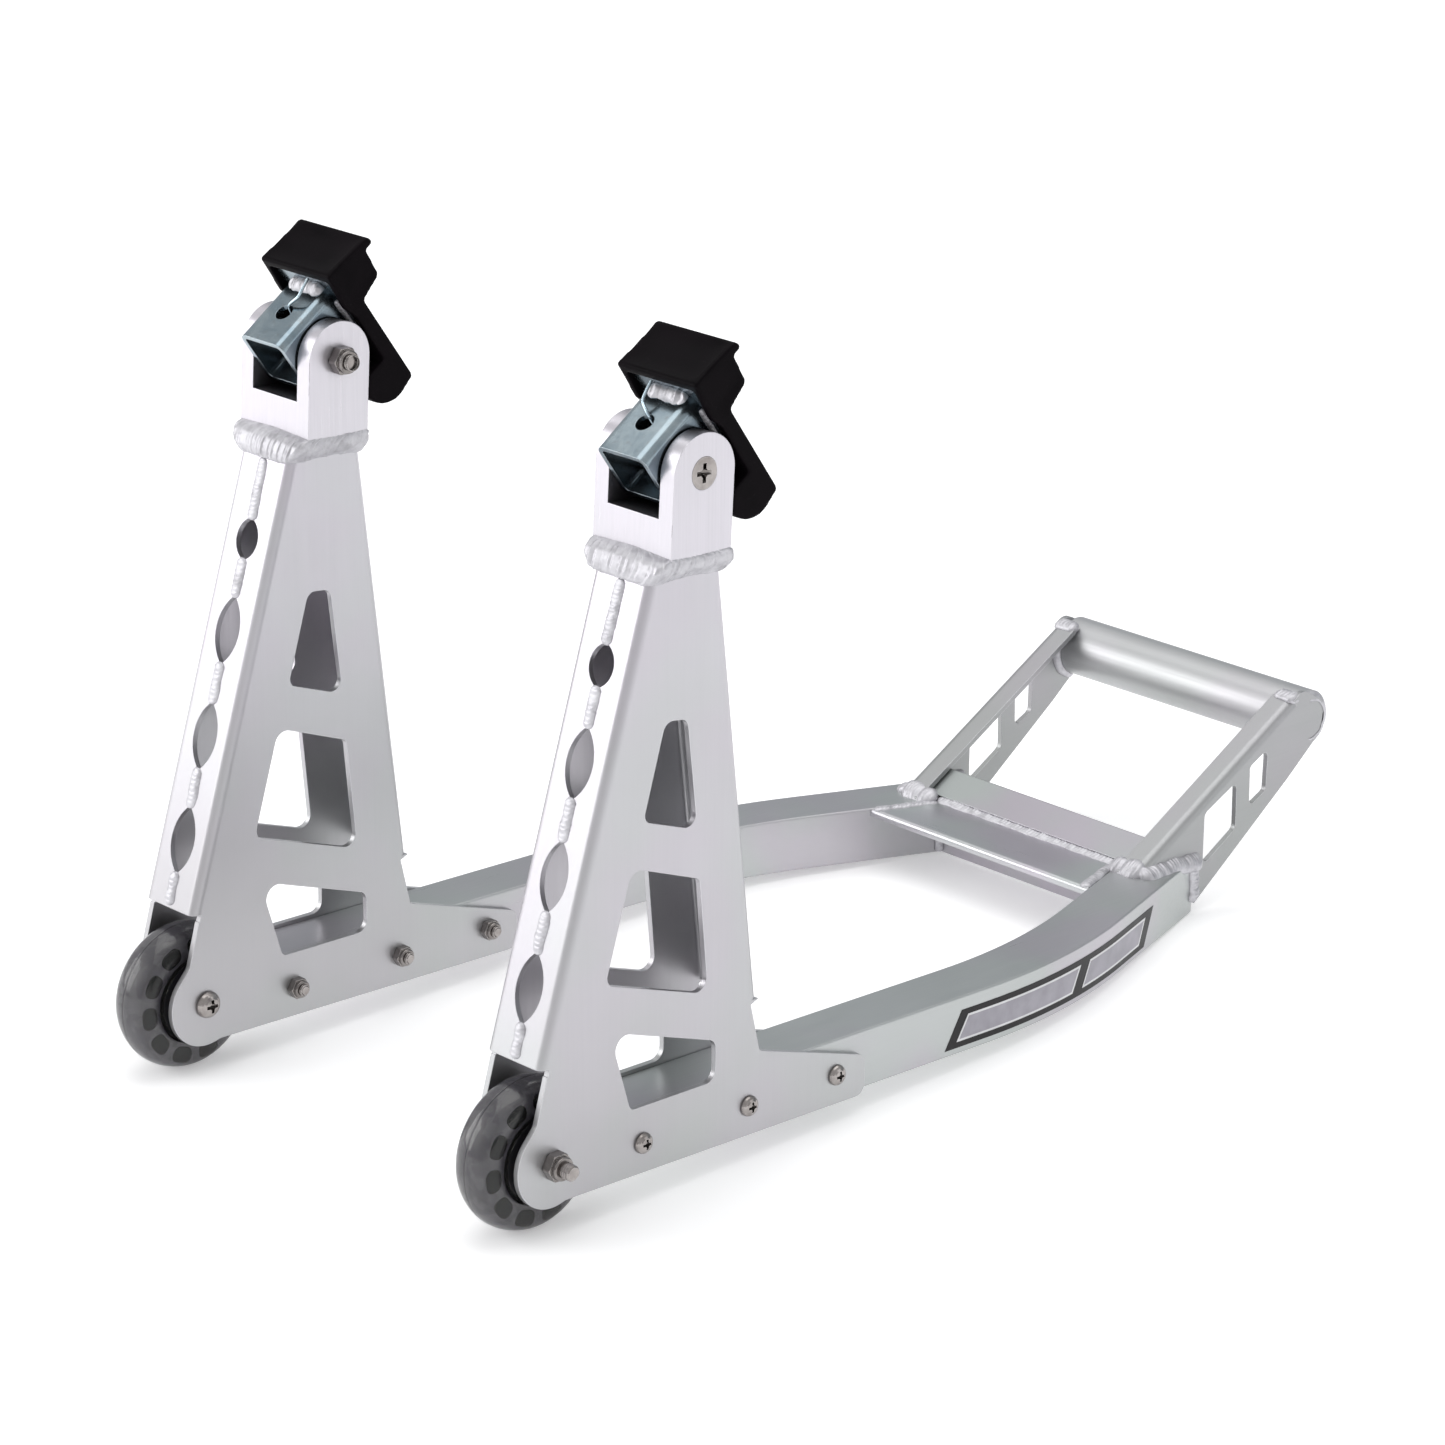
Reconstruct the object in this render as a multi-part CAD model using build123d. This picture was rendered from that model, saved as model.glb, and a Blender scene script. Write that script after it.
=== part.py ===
from build123d import *
from math import asin, atan2, cos, degrees, hypot, radians, sin, tan
import os

# Front paddock stand, in millimetres. +X across the stand, +Y from the wheels to the handle,
# +Z up. The sides are mirror images, so each side piece is drawn once, on the +X side.
# While a piece is drawn, Y is counted from the wheel axle; finish() then moves it so that the
# origin lies on the floor, in the middle of the stand.

# ---- driving dimensions: general ----
SIDE_X = 128.5           # middle of each upright, wheel and rail, from the mid-plane
SHEET = 3.0              # aluminium sheet of the uprights, arms and crossbar
BEND_R = 5.0             # outer radius of the sheet's bends

# ---- wheels ----
WHEEL_R = 38.0
WHEEL_W = 24.0
TREAD_R = 16.0           # radius of the tread across the wheel
HUB_R = 20.5             # plastic core under the tyre
HUB_W = 22.4
BEARING_R = 11.0         # 608 bearing
BEARING_W = 7.0
AXLE_R = 4.0             # M8
RUN_GAP = 0.04           # radial running clearance of a bearing on its bolt
SIDE_GAP = 0.2           # axial clearance beside each bearing

# ---- rails ----
RAIL_W = 33.0
RAIL_H = 31.0
RAIL_WALL = 2.5
RAIL_TOP_Z = 50.1        # top face, where it would cross the axle's plane
RAIL_FRONT_Y = 44.0
RAIL_BEND_Y = 298.0      # start of the bend
RAIL_BEND_R = 380.0      # radius of the bend's outer wall
RAIL_BEND_A = 19.5       # degrees
RAIL_END_Y = 525.0

# ---- uprights ----
UP_W = RAIL_W + 2 * SHEET
FRONT_Y, FRONT_Z = -7.1, 86.4         # foot of the front flange
FRONT_LEAN = 17.2                     # degrees back from the vertical
BACK_Y, BACK_Z = 132.8, 82.9          # foot of the rear flange
BACK_LEAN = -6.7
LUG_R = 22.0                          # round lug that holds the axle
TONGUE_TOP = ((134.0, 55.1), (207.2, 31.0))
TONGUE_DROP = 1.6                     # the tongue reaches this far below the rail
TONGUE_CORNER = 6.0
RAIL_BOLT_Y = (57.0, 126.8, 187.0)
RAIL_BOLT_DROP = 17.0                 # bolt centres below the rail's top
SEAM_SLOTS = ((266.8, 21.5, 16.0), (222.5, 35.0, 17.5), (170.8, 35.0, 17.5), (119.7, 35.0, 17.5))

# windows in the uprights: (y, z, corner radius)
WINDOWS = (
    ((70.9, 238.9, 5.5), (57.0, 193.2, 4.5), (91.6, 180.4, 5.5), (85.0, 237.0, 5.5)),
    ((49.8, 172.1, 7.0), (33.1, 118.2, 5.0), (99.2, 95.0, 6.0), (93.4, 155.2, 4.0)),
    ((35.6, 93.9, 7.0), (49.1, 50.0, 4.0), (104.6, 48.3, 6.0), (104.7, 69.2, 6.0)),
)

# ---- clevises ----
CLEVIS_W = 52.0
CLEVIS_D = 38.0
CLEVIS_SLOT_W = 34.0
CLEVIS_LEAN = 3.0                     # degrees back from the vertical
CLEVIS_FOOT_Y, CLEVIS_FOOT_Z = 86.4, 317.4
PIVOT_RISE = 38.8                     # pivot above the clevis's foot
SLOT_DEPTH = 20.6                     # slot bottom below the pivot
CSK_R = 8.0                           # M8 countersunk head

# ---- swivelling holder and pad, drawn about the pivot: a along the tube, n up from it ----
PAD_TILT = 35.0                       # degrees that the tube slopes up towards the back
TUBE = 32.0
TUBE_WALL = 2.5
TUBE_R = 5.0
TUBE_TOP = 24.5
TUBE_MOUTH = -18.0
TUBE_HOLE_R = 4.8
TUBE_HOLE_A = 1.5
PLATE_A = 21.4                        # front face of the bracket plate
PLATE_T = 4.0
PLATE_W = 44.0
PAD_W = 52.0
STOP_GAP = 0.3                        # toe of the pad to the back of the clevis, at rest
WIRE_R = 0.8

# ---- crossbar ----
SHELF_FRONT_Y = 445.5
WEB_Y = 487.0
STRIP_W = 20.0                        # flat bar between the arms

# ---- handle ----
HANDLE_Y, HANDLE_Z = 618.3, 88.6
HANDLE_R = 16.4
HANDLE_WALL = 2.5
ARM_X = 88.6                          # outer face of the arms
FLANGE_W = 15.0
ARM_TOP_Z, ARM_TOP_A = 112.3, 28.8    # top face above the handle's axis, and its slope
ARM_LOW_Z, ARM_LOW_A = 71.6, 35.3     # lower edge likewise
FLANGE_END_Y = 603.0
ARM_WINDOWS = (
    ((530.8, 56.3, 4.0), (530.8, 25.8, 3.0), (557.4, 40.6, 5.0), (556.8, 68.2, 3.0)),
    ((567.6, 74.0, 3.0), (568.2, 50.4, 3.0), (581.8, 56.6, 4.0), (582.4, 81.0, 3.0)),
)

# ---- fasteners ----
M6_R, M6_HEAD_R, M6_HEAD_H, M6_AF, M6_NUT_H = 3.0, 5.3, 3.6, 10.0, 6.0
M8_HEAD_R, M8_HEAD_H, M8_AF, M8_NUT_H = 7.0, 5.0, 13.0, 8.0
HOLE_GAP = 0.1                        # radial clearance of a bolt in its hole
DRIVE = 1.2                           # half width of a cross recess
WELD_R = 3.2

# ---- derived ----
# slope at which the lower edge of each rail's end meets the floor
RAIL_SLOPE = asin(RAIL_TOP_Z / hypot(RAIL_END_Y, RAIL_H)) - atan2(RAIL_H, RAIL_END_Y)
MID_Y = (HANDLE_Y + HANDLE_R - WHEEL_R) / 2
OUTER_X = SIDE_X + UP_W / 2
INNER_X = SIDE_X - UP_W / 2
PIVOT_Y = CLEVIS_FOOT_Y + PIVOT_RISE * tan(radians(CLEVIS_LEAN))
PIVOT_Z = CLEVIS_FOOT_Z + PIVOT_RISE
EAR_OUT_X = SIDE_X + CLEVIS_W / 2
EAR_IN_X = SIDE_X - CLEVIS_W / 2

parts = {}


# ---------------------------------------------------------------- helpers
def outline(corners):
    """Closed face in the Y-Z plane from corners (y, z, radius)."""
    points = [(y, z) for y, z, _ in corners]
    radii = [r for _, _, r in corners]
    return make_face(FilletPolyline(*points, radius=radii, close=True))


def slab(face, x_low, x_high):
    """Face of the Y-Z plane, thickened from x_low to x_high."""
    placed = Plane(origin=(x_low, 0, 0), x_dir=(0, 1, 0), z_dir=(1, 0, 0)) * face
    return extrude(placed, amount=x_high - x_low, dir=(1, 0, 0))


def bar_x(radius, y, z, x_low, x_high):
    """Round bar along X."""
    disc = Plane(origin=(x_low, y, z), x_dir=(0, 1, 0), z_dir=(1, 0, 0)) * Circle(radius)
    return extrude(disc, amount=x_high - x_low)


def hex_x(across, y, z, x_low, x_high):
    """Hexagonal bar along X."""
    flat = RegularPolygon(radius=across / 2, side_count=6, major_radius=False)
    placed = Plane(origin=(x_low, y, z), x_dir=(0, 1, 0), z_dir=(1, 0, 0)) * flat
    return extrude(placed, amount=x_high - x_low)


def bead(start, end, radius=WELD_R):
    """Straight weld bead."""
    line = Vector(*end) - Vector(*start)
    disc = Plane(origin=start, z_dir=line.normalized()) * Circle(radius)
    return extrude(disc, amount=line.length)


def rail_top(y):
    return RAIL_TOP_Z - tan(RAIL_SLOPE) * y


def front_line(z):
    return FRONT_Y + (z - FRONT_Z) * tan(radians(FRONT_LEAN))


def back_line(z):
    return BACK_Y + (z - BACK_Z) * tan(radians(BACK_LEAN))


def arm_top(y):
    return ARM_TOP_Z - tan(radians(ARM_TOP_A)) * (HANDLE_Y - y)


def arm_low(y):
    return ARM_LOW_Z - tan(radians(ARM_LOW_A)) * (HANDLE_Y - y)


def finish(shape):
    return Pos(0, -MID_Y, 0) * shape


def solids(shape):
    """The separate solids of a shape, without slivers."""
    return [s for s in shape.solids() if s.volume > 1.0]


def keep(name, shape):
    """Keep a piece, or a group of separate solids, under its node name."""
    found = solids(finish(shape))
    parts[name] = found[0] if len(found) == 1 else Compound(children=found)


def pair(name, shape):
    """Keep a piece of the right side, and its mirror image on the left."""
    keep("right_" + name, shape)
    keep("left_" + name, mirror(shape, about=Plane.YZ))


def both(shape):
    """A piece of the right side together with its mirror image."""
    return solids(shape) + solids(mirror(shape, about=Plane.YZ))


def group(name, shapes):
    keep(name, Compound(children=shapes))


# ---------------------------------------------------------------- rails
def rail_run(inside, outside, front, end):
    """Plan outline of a band that follows the rail, from inside to outside of its middle."""
    bend_r = RAIL_BEND_R - RAIL_W / 2
    centre_x = SIDE_X - bend_r
    turn = radians(RAIL_BEND_A)

    def tail(r):
        x = centre_x + r * cos(turn)
        y = RAIL_BEND_Y + r * sin(turn)
        run = (end - y) / cos(turn)
        return (x, y), (x - run * sin(turn), end)

    outer, inner = bend_r + outside, bend_r - inside
    half = turn / 2
    out_start, out_end = tail(outer)
    in_start, in_end = tail(inner)
    out_mid = (centre_x + outer * cos(half), RAIL_BEND_Y + outer * sin(half))
    in_mid = (centre_x + inner * cos(half), RAIL_BEND_Y + inner * sin(half))
    edges = [
        Line((SIDE_X - inside, front), (SIDE_X + outside, front)),
        Line((SIDE_X + outside, front), (SIDE_X + outside, RAIL_BEND_Y)),
        ThreePointArc((SIDE_X + outside, RAIL_BEND_Y), out_mid, out_start),
        Line(out_start, out_end),
        Line(out_end, in_end),
        Line(in_end, in_start),
        ThreePointArc(in_start, in_mid, (SIDE_X - inside, RAIL_BEND_Y)),
        Line((SIDE_X - inside, RAIL_BEND_Y), (SIDE_X - inside, front)),
    ]
    return make_face(Wire(edges))


def rail_block(inside, outside, top, bottom, front, end):
    """Block that follows the rail, between two depths below its sloping top face."""
    slope = Location((0, 0, RAIL_TOP_Z - top), (degrees(-RAIL_SLOPE), 0, 0))
    block = extrude(rail_run(inside, outside, front, end), amount=-(bottom - top))
    return slope * block


def rail_solid():
    """The rail's outer form, without its bore."""
    half = RAIL_W / 2
    return rail_block(half, half, 0, RAIL_H, RAIL_FRONT_Y, RAIL_END_Y)


def rail():
    outer = rail_solid()
    long_edges = [e for e in outer.edges() if e.length > 50]
    outer = fillet(long_edges, 1.2)
    bore = RAIL_W / 2 - RAIL_WALL
    tube = outer - rail_block(bore, bore, RAIL_WALL, RAIL_H - RAIL_WALL, RAIL_FRONT_Y - 10, RAIL_END_Y + 10)
    for y in RAIL_BOLT_Y:
        tube -= bar_x(M6_R + HOLE_GAP, y, bolt_z(y), INNER_X, OUTER_X)
    return tube


def bolt_z(y):
    return rail_top(y) - RAIL_BOLT_DROP


# ---------------------------------------------------------------- uprights
def clevis_foot(offset):
    """Height of the clevis's foot plane at a distance in Y from its middle."""
    return CLEVIS_FOOT_Z - offset * tan(radians(CLEVIS_LEAN))


def plate_face():
    """Outline of a side plate: mast, lug round the axle, and tongue along the rail."""
    neck_z = 59.5
    setback = BEND_R / cos(radians(FRONT_LEAN))
    neck_y = front_line(neck_z) + setback
    reach = hypot(neck_y, neck_z - WHEEL_R)
    angle = atan2(neck_z - WHEEL_R, neck_y) + (radians(90) - asin(LUG_R / reach))
    touch = (LUG_R * cos(angle), WHEEL_R + LUG_R * sin(angle))
    tongue_end_y = TONGUE_TOP[1][0]
    step_y, step_z = BACK_Y - BEND_R, BACK_Z - 2.0
    front_top, back_top = front_line(CLEVIS_FOOT_Z), back_line(CLEVIS_FOOT_Z)

    def under(y):
        return rail_top(y) - RAIL_H - TONGUE_DROP

    mast = outline((
        (front_top, clevis_foot(front_top - CLEVIS_FOOT_Y), 0),
        (neck_y, neck_z, 6.0),
        (touch[0], touch[1], 0),
        (0, WHEEL_R, 0),
        (0, under(0), 0),
        (tongue_end_y, under(tongue_end_y), TONGUE_CORNER),
        (TONGUE_TOP[1][0], TONGUE_TOP[1][1], TONGUE_CORNER),
        (TONGUE_TOP[0][0], TONGUE_TOP[0][1], 3.0),
        (step_y, step_z, 0),
        (BACK_Y, BACK_Z, 0),
        (back_top, clevis_foot(back_top - CLEVIS_FOOT_Y), 0),
    ))
    face = mast + Pos(0, WHEEL_R) * Circle(LUG_R)
    for window in WINDOWS:
        face -= outline(window)
    return face


def mast_box(inset):
    """Tapered box of the mast, smaller by inset at the front, back and sides."""
    low, high = min(FRONT_Z, BACK_Z), CLEVIS_FOOT_Z + 10
    grow_f = inset / cos(radians(FRONT_LEAN))
    grow_b = inset / cos(radians(BACK_LEAN))
    face = outline((
        (front_line(high) + grow_f, high, 0),
        (front_line(low) + grow_f, low, 0),
        (back_line(low) - grow_b, low, 0),
        (back_line(high) - grow_b, high, 0),
    ))
    box = slab(face, INNER_X + inset, OUTER_X - inset)
    long_edges = [e for e in box.edges() if e.length > 200]
    return fillet(long_edges, max(BEND_R - inset, 0.8))


def seam_slot(middle_z, length, width):
    """Lens-shaped opening in the front seam, cut square to the front flange."""
    half, rise = length / 2, width / 2
    lens = make_face(Wire([
        ThreePointArc((0, half), (rise, 0), (0, -half)),
        ThreePointArc((0, -half), (-rise, 0), (0, half)),
    ]))
    lean = radians(FRONT_LEAN)
    face_plane = Plane(
        origin=(SIDE_X, front_line(middle_z), middle_z),
        x_dir=(1, 0, 0),
        z_dir=(0, -cos(lean), sin(lean)),
    )
    return extrude(face_plane * lens, amount=10, both=True)


def mast_shell():
    """Both half flanges and both mast walls, before the seam divides them."""
    shell = mast_box(0) - mast_box(SHEET)
    foot_cut = outline((
        (0, clevis_foot(-CLEVIS_FOOT_Y), 0),
        (200, clevis_foot(200 - CLEVIS_FOOT_Y), 0),
        (200, 400, 0),
        (0, 400, 0),
    ))
    shell -= slab(foot_cut, INNER_X - 5, OUTER_X + 5)
    # the front flange starts a little above the rear one, and its bends end with it
    lip = outline(((-40, 70, 0), (30, 70, 0), (30, FRONT_Z, 0), (-40, FRONT_Z, 0)))
    shell -= slab(lip, INNER_X + SHEET, OUTER_X - SHEET)
    setback = BEND_R / cos(radians(FRONT_LEAN))
    notch = outline((
        (-40, 70, 0), (front_line(70) + setback, 70, 0),
        (front_line(FRONT_Z) + setback, FRONT_Z, 0), (-40, FRONT_Z, 0),
    ))
    shell -= slab(notch, INNER_X - 5, OUTER_X + 5)
    for window in WINDOWS:
        shell -= slab(outline(window), INNER_X - 5, OUTER_X + 5)
    for middle_z, length, width in SEAM_SLOTS:
        shell -= seam_slot(middle_z, length, width)
    return shell


def upright(x_low, x_high, half_low, half_high):
    """One half shell: a side plate with the half flanges on its side of the seam."""
    region = slab(outline(((-60, 0, 0), (260, 0, 0), (260, 360, 0), (-60, 360, 0))), half_low, half_high)
    half = mast_shell() & region
    # the plate's long edges follow the rounded mast, so only its part below the flanges is added
    plate = slab(plate_face(), x_low, x_high)
    above = slab(outline(((-60, BACK_Z, 0), (260, BACK_Z, 0), (260, 360, 0), (-60, 360, 0))), 0, 300)
    half = half + (plate - above)
    half -= bar_x(AXLE_R + HOLE_GAP, 0, WHEEL_R, x_low, x_high)
    for y in RAIL_BOLT_Y:
        half -= bar_x(M6_R + HOLE_GAP, y, bolt_z(y), x_low, x_high)
    return half


# ---------------------------------------------------------------- clevises
def clevis_frame(shape):
    """Place a shape drawn about the pivot, upright, with the clevis's lean."""
    return Pos(0, PIVOT_Y, PIVOT_Z) * Rot(-CLEVIS_LEAN, 0, 0) * shape


def clevis():
    half = CLEVIS_D / 2
    block = slab(outline((
        (-half, -PIVOT_RISE, 0), (half, -PIVOT_RISE, 0), (half, 0, 0), (-half, 0, 0),
    )), EAR_IN_X, EAR_OUT_X)
    block += bar_x(half, 0, 0, EAR_IN_X, EAR_OUT_X)
    slot = slab(outline((
        (-40, -SLOT_DEPTH, 0), (40, -SLOT_DEPTH, 0), (40, 40, 0), (-40, 40, 0),
    )), SIDE_X - CLEVIS_SLOT_W / 2, SIDE_X + CLEVIS_SLOT_W / 2)
    block -= slot
    block -= bar_x(AXLE_R + HOLE_GAP, 0, 0, EAR_IN_X, EAR_OUT_X)
    sink = Plane(origin=(EAR_OUT_X, 0, 0), x_dir=(0, 1, 0), z_dir=(-1, 0, 0)) * Circle(CSK_R)
    block -= extrude(sink, amount=CSK_R - AXLE_R, taper=45)
    return clevis_frame(block)


def clevis_weld():
    """Bead that fills the step between the upright and the wider clevis."""
    sections = []
    # rise above the pivot, width, front and back
    for rise, width, front, back in (
        (-PIVOT_RISE + 0.4, 53.2, -22.6, 20.4),
        (-PIVOT_RISE - 4.5, 52.4, -25.2, 22.0),
        (-PIVOT_RISE - 11.5, 41.6, -26.0, 22.6),
    ):
        level = Plane(origin=(SIDE_X, (front + back) / 2, rise), z_dir=(0, 0, 1))
        sections.append(level * RectangleRounded(width, back - front, 4.0))
    collar = clevis_frame(loft(sections))
    return collar - mast_box(0) - clevis()


def seam_weld():
    """Beads that close the front seam between its openings."""
    lean = tan(radians(FRONT_LEAN))
    gaps = []
    top = CLEVIS_FOOT_Z - 13.5
    for middle_z, length, _ in SEAM_SLOTS:
        half = length / 2 * cos(radians(FRONT_LEAN))
        gaps.append((top, middle_z + half + 1.0))
        top = middle_z - half - 1.0
    gaps.append((top, FRONT_Z + 1.0))
    sunk = 1.6
    beads = []
    for high, low in gaps:
        start = (SIDE_X, front_line(high) + sunk, high)
        end = (SIDE_X, front_line(low) + sunk, low)
        beads += solids(bead(start, end, 3.4) - mast_box(0))
    return Compound(children=beads)


# ---------------------------------------------------------------- crossbar and handle
def between_rails():
    """Space between the rails' inner faces, near the crossbar."""
    half = RAIL_W / 2
    space = rail_block(half + 80, -half, -5, RAIL_H + 5, SHELF_FRONT_Y - 20, RAIL_END_Y)
    return space + mirror(space, about=Plane.YZ)


def crossbar_angle():
    """Angle section: a shelf between the rails, and a web at its back."""
    front_top, back_top = rail_top(SHELF_FRONT_Y), rail_top(WEB_Y)
    foot = rail_top(WEB_Y) - RAIL_H + 0.6
    section = outline((
        (SHELF_FRONT_Y, front_top, 2.6),
        (SHELF_FRONT_Y, front_top - 5.0, 1.2),
        (SHELF_FRONT_Y + SHEET, front_top - 5.0, 1.2),
        (SHELF_FRONT_Y + SHEET, front_top - SHEET, 0),
        (WEB_Y, back_top - SHEET, 1.5),
        (WEB_Y, foot, 0),
        (WEB_Y + SHEET, foot, 0),
        (WEB_Y + SHEET, back_top, 2.0),
    ))
    return slab(section, -SIDE_X, SIDE_X) & between_rails()


def strip_face():
    """Section of the flat bar, lying at the arms' slope on the crossbar's back edge."""
    low_y, low_z = WEB_Y + 0.8, rail_top(WEB_Y) + 0.2
    slope = radians(ARM_TOP_A)
    run = (STRIP_W * cos(slope), STRIP_W * sin(slope))
    up = (-SHEET * sin(slope), SHEET * cos(slope))
    return outline((
        (low_y, low_z, 0),
        (low_y + run[0], low_z + run[1], 0.8),
        (low_y + run[0] + up[0], low_z + run[1] + up[1], 0.8),
        (low_y + up[0], low_z + up[1], 0),
    ))


def rear_strip():
    inner = ARM_X - SHEET
    return slab(strip_face(), -inner, inner)


def arm_plate():
    """Outline of an arm's side plate, from the rail to the round end at the handle."""
    tip_y = 476.0
    return outline((
        (tip_y, arm_top(tip_y), 0),
        (tip_y, rail_top(tip_y), 0),
        (RAIL_END_Y, rail_top(RAIL_END_Y), 0),
        (RAIL_END_Y, arm_low(RAIL_END_Y), 0),
        (600.0, arm_low(600.0), 12.0),
        (627.0, 79.6, 9.0),
        (629.6, 97.0, 9.0),
        (611.0, arm_top(611.0), 9.0),
    ))


def arm_bend(y_low, y_high):
    """Material outside the rounded bend between an arm's plate and its flange."""
    lean = radians(ARM_TOP_A)
    across = Plane(
        origin=(ARM_X, y_high, arm_top(y_high)),
        x_dir=(1, 0, 0),
        z_dir=(0, -cos(lean), -sin(lean)),
    )
    reach = BEND_R + 1
    corner = Pos(1 - reach / 2, 1 - reach / 2) * Rectangle(reach, reach)
    corner -= Pos(-BEND_R, -BEND_R) * Circle(BEND_R)
    return extrude(across * corner, amount=(y_high - y_low) / cos(lean))


def handle_arm():
    plate = slab(arm_plate(), ARM_X - SHEET, ARM_X)
    for window in ARM_WINDOWS:
        plate -= slab(outline(window), ARM_X - SHEET - 5, ARM_X + 5)
    tip_y = 476.0
    drop = SHEET / cos(radians(ARM_TOP_A))
    top_face = outline((
        (tip_y, arm_top(tip_y), 0),
        (tip_y, arm_top(tip_y) - drop, 0),
        (FLANGE_END_Y + 1.6, arm_top(FLANGE_END_Y + 1.6) - drop, 0),
        (FLANGE_END_Y, arm_top(FLANGE_END_Y), 0),
    ))
    arm = plate + slab(top_face, ARM_X - FLANGE_W, ARM_X)
    arm -= arm_bend(tip_y - 5, FLANGE_END_Y)
    under = rail_block(SIDE_X, SIDE_X, 0, RAIL_H, SHELF_FRONT_Y, RAIL_END_Y)
    return arm - under - slab(strip_face(), 0, ARM_X - SHEET)


def handle_tube():
    half = ARM_X - SHEET
    tube = bar_x(HANDLE_R, HANDLE_Y, HANDLE_Z, -half, half)
    return tube - bar_x(HANDLE_R - HANDLE_WALL, HANDLE_Y, HANDLE_Z, -half, half)


# ---------------------------------------------------------------- swivelling holder and pad
def pad_frame(shape):
    """Place a shape drawn about the pivot, along the tube, with the tube's slope at rest."""
    return Pos(0, PIVOT_Y, PIVOT_Z) * Rot(PAD_TILT, 0, 0) * shape


def stop_space():
    """The clevis's own space, a little larger at the back, which the pad stays clear of."""
    half = CLEVIS_D / 2 + STOP_GAP
    face = outline(((-half, -60, 0), (half, -60, 0), (half, 0, 0), (-half, 0, 0)))
    return clevis_frame(slab(face, EAR_IN_X - 5, EAR_OUT_X + 5))


def bracket():
    """L-shaped steel plate inside the rubber boot."""
    back = PLATE_A + PLATE_T
    face = outline((
        (PLATE_A, 33.0, 0),
        (PLATE_A, -36.0, 2.0),
        (back, -36.0, 2.0),
        (back, 28.5, 1.0),
        (42.0, 27.6, 1.0),
        (42.0, 31.6, 1.0),
    ))
    return slab(face, SIDE_X - PLATE_W / 2, SIDE_X + PLATE_W / 2)


def boot_face():
    """Side outline of the rubber boot: top block with a lip, leg, and a toe that meets the clevis."""
    toe_y, toe_z, toe_r = 17.8, -27.1, 16.3
    leg_back, leg_front = 28.7, PLATE_A - 1.0
    lower = outline((
        (18.9, 38.3, 1.2), (17.9, 16.6, 1.5), (leg_front, 9.0, 2.0), (leg_front, toe_z, 0),
        (toe_y, toe_z, 0), (leg_back, toe_z - toe_r * 0.5, 0), (leg_back, 12.4, 1.5),
        (43.4, 15.8, 3.0), (44.7, 31.7, 1.0), (49.7, 31.4, 2.0), (50.0, 36.3, 2.6),
    ))
    heel = outline((
        (toe_y, toe_z + 4.5, 0), (toe_y, toe_z - toe_r, 0), (leg_back, -41.0, 1.5), (leg_back, toe_z, 0),
    ))
    toe = Pos(toe_y, toe_z) * Circle(toe_r) & outline((
        (-10, -21.0, 0), (-10, -60, 0), (leg_back, -60, 0), (leg_back, -21.0, 0),
    ))
    return lower + heel + toe


def boot():
    half = PAD_W / 2
    body = slab(boot_face(), SIDE_X - half, SIDE_X + half)
    side_edges = [e for e in body.edges() if abs(abs(e.center().X - SIDE_X) - half) < 0.01]
    try:
        body = fillet(side_edges, 0.8)
    except Exception:
        print("boot edges left sharp")
    mouth = outline(((10, 34.3, 0), (10, -10, 0), (PLATE_A, -10, 0), (PLATE_A, 33.2, 0)))
    body -= slab(mouth, SIDE_X - PLATE_W / 2, SIDE_X + PLATE_W / 2)
    return pad_frame(body - bracket()) - stop_space()


def holder_tube():
    middle = TUBE_TOP - TUBE / 2
    end = Plane(origin=(SIDE_X, TUBE_MOUTH, middle), x_dir=(1, 0, 0), z_dir=(0, 1, 0))
    outer = extrude(end * RectangleRounded(TUBE, TUBE, TUBE_R), amount=PLATE_A - TUBE_MOUTH)
    bore = TUBE - 2 * TUBE_WALL
    inner = extrude(end * RectangleRounded(bore, bore, TUBE_R - TUBE_WALL), amount=PLATE_A - TUBE_MOUTH)
    tube = outer - inner
    tube -= bar_x(AXLE_R + 2.0 + RUN_GAP, 0, 0, SIDE_X - TUBE, SIDE_X + TUBE)
    tube -= Pos(SIDE_X, TUBE_HOLE_A, TUBE_TOP) * Cylinder(TUBE_HOLE_R, 3 * TUBE_WALL)
    return pad_frame(tube)


def holder_weld():
    """Beads between the tube's end and the bracket."""
    top = bead((SIDE_X - 11, PLATE_A - 1.5, TUBE_TOP + 0.5), (SIDE_X + 11, PLATE_A - 1.5, TUBE_TOP + 0.5), 4.6)
    low_z = TUBE_TOP - TUBE
    low = bead((SIDE_X - 11, PLATE_A - 0.5, low_z), (SIDE_X + 11, PLATE_A - 0.5, low_z), 2.0)
    middle = TUBE_TOP - TUBE / 2
    end = Plane(origin=(SIDE_X, 0, middle), x_dir=(1, 0, 0), z_dir=(0, 1, 0))
    core = extrude(end * RectangleRounded(TUBE, TUBE, TUBE_R), amount=PLATE_A)
    room = slab(outline(((0, -20, 0), (PLATE_A, -20, 0), (PLATE_A, 31.5, 0), (0, 31.5, 0))), 0, 300)
    return pad_frame(((top + low) & room) - core)


def retaining_wire():
    """Thin wire hooked in the tube's hole and under the boot's top edge."""
    points = ((0.5, 4.6, 20.5), (-0.4, 5.2, 25.6), (-6.0, 9.3, 28.6), (-6.4, 19.2, 32.2))
    path = FilletPolyline(*[(SIDE_X + x, a, n) for x, a, n in points], radius=2.0)
    start = Plane(origin=path @ 0, z_dir=path % 0)
    return pad_frame(sweep(start * Circle(WIRE_R), path=path))


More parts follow.
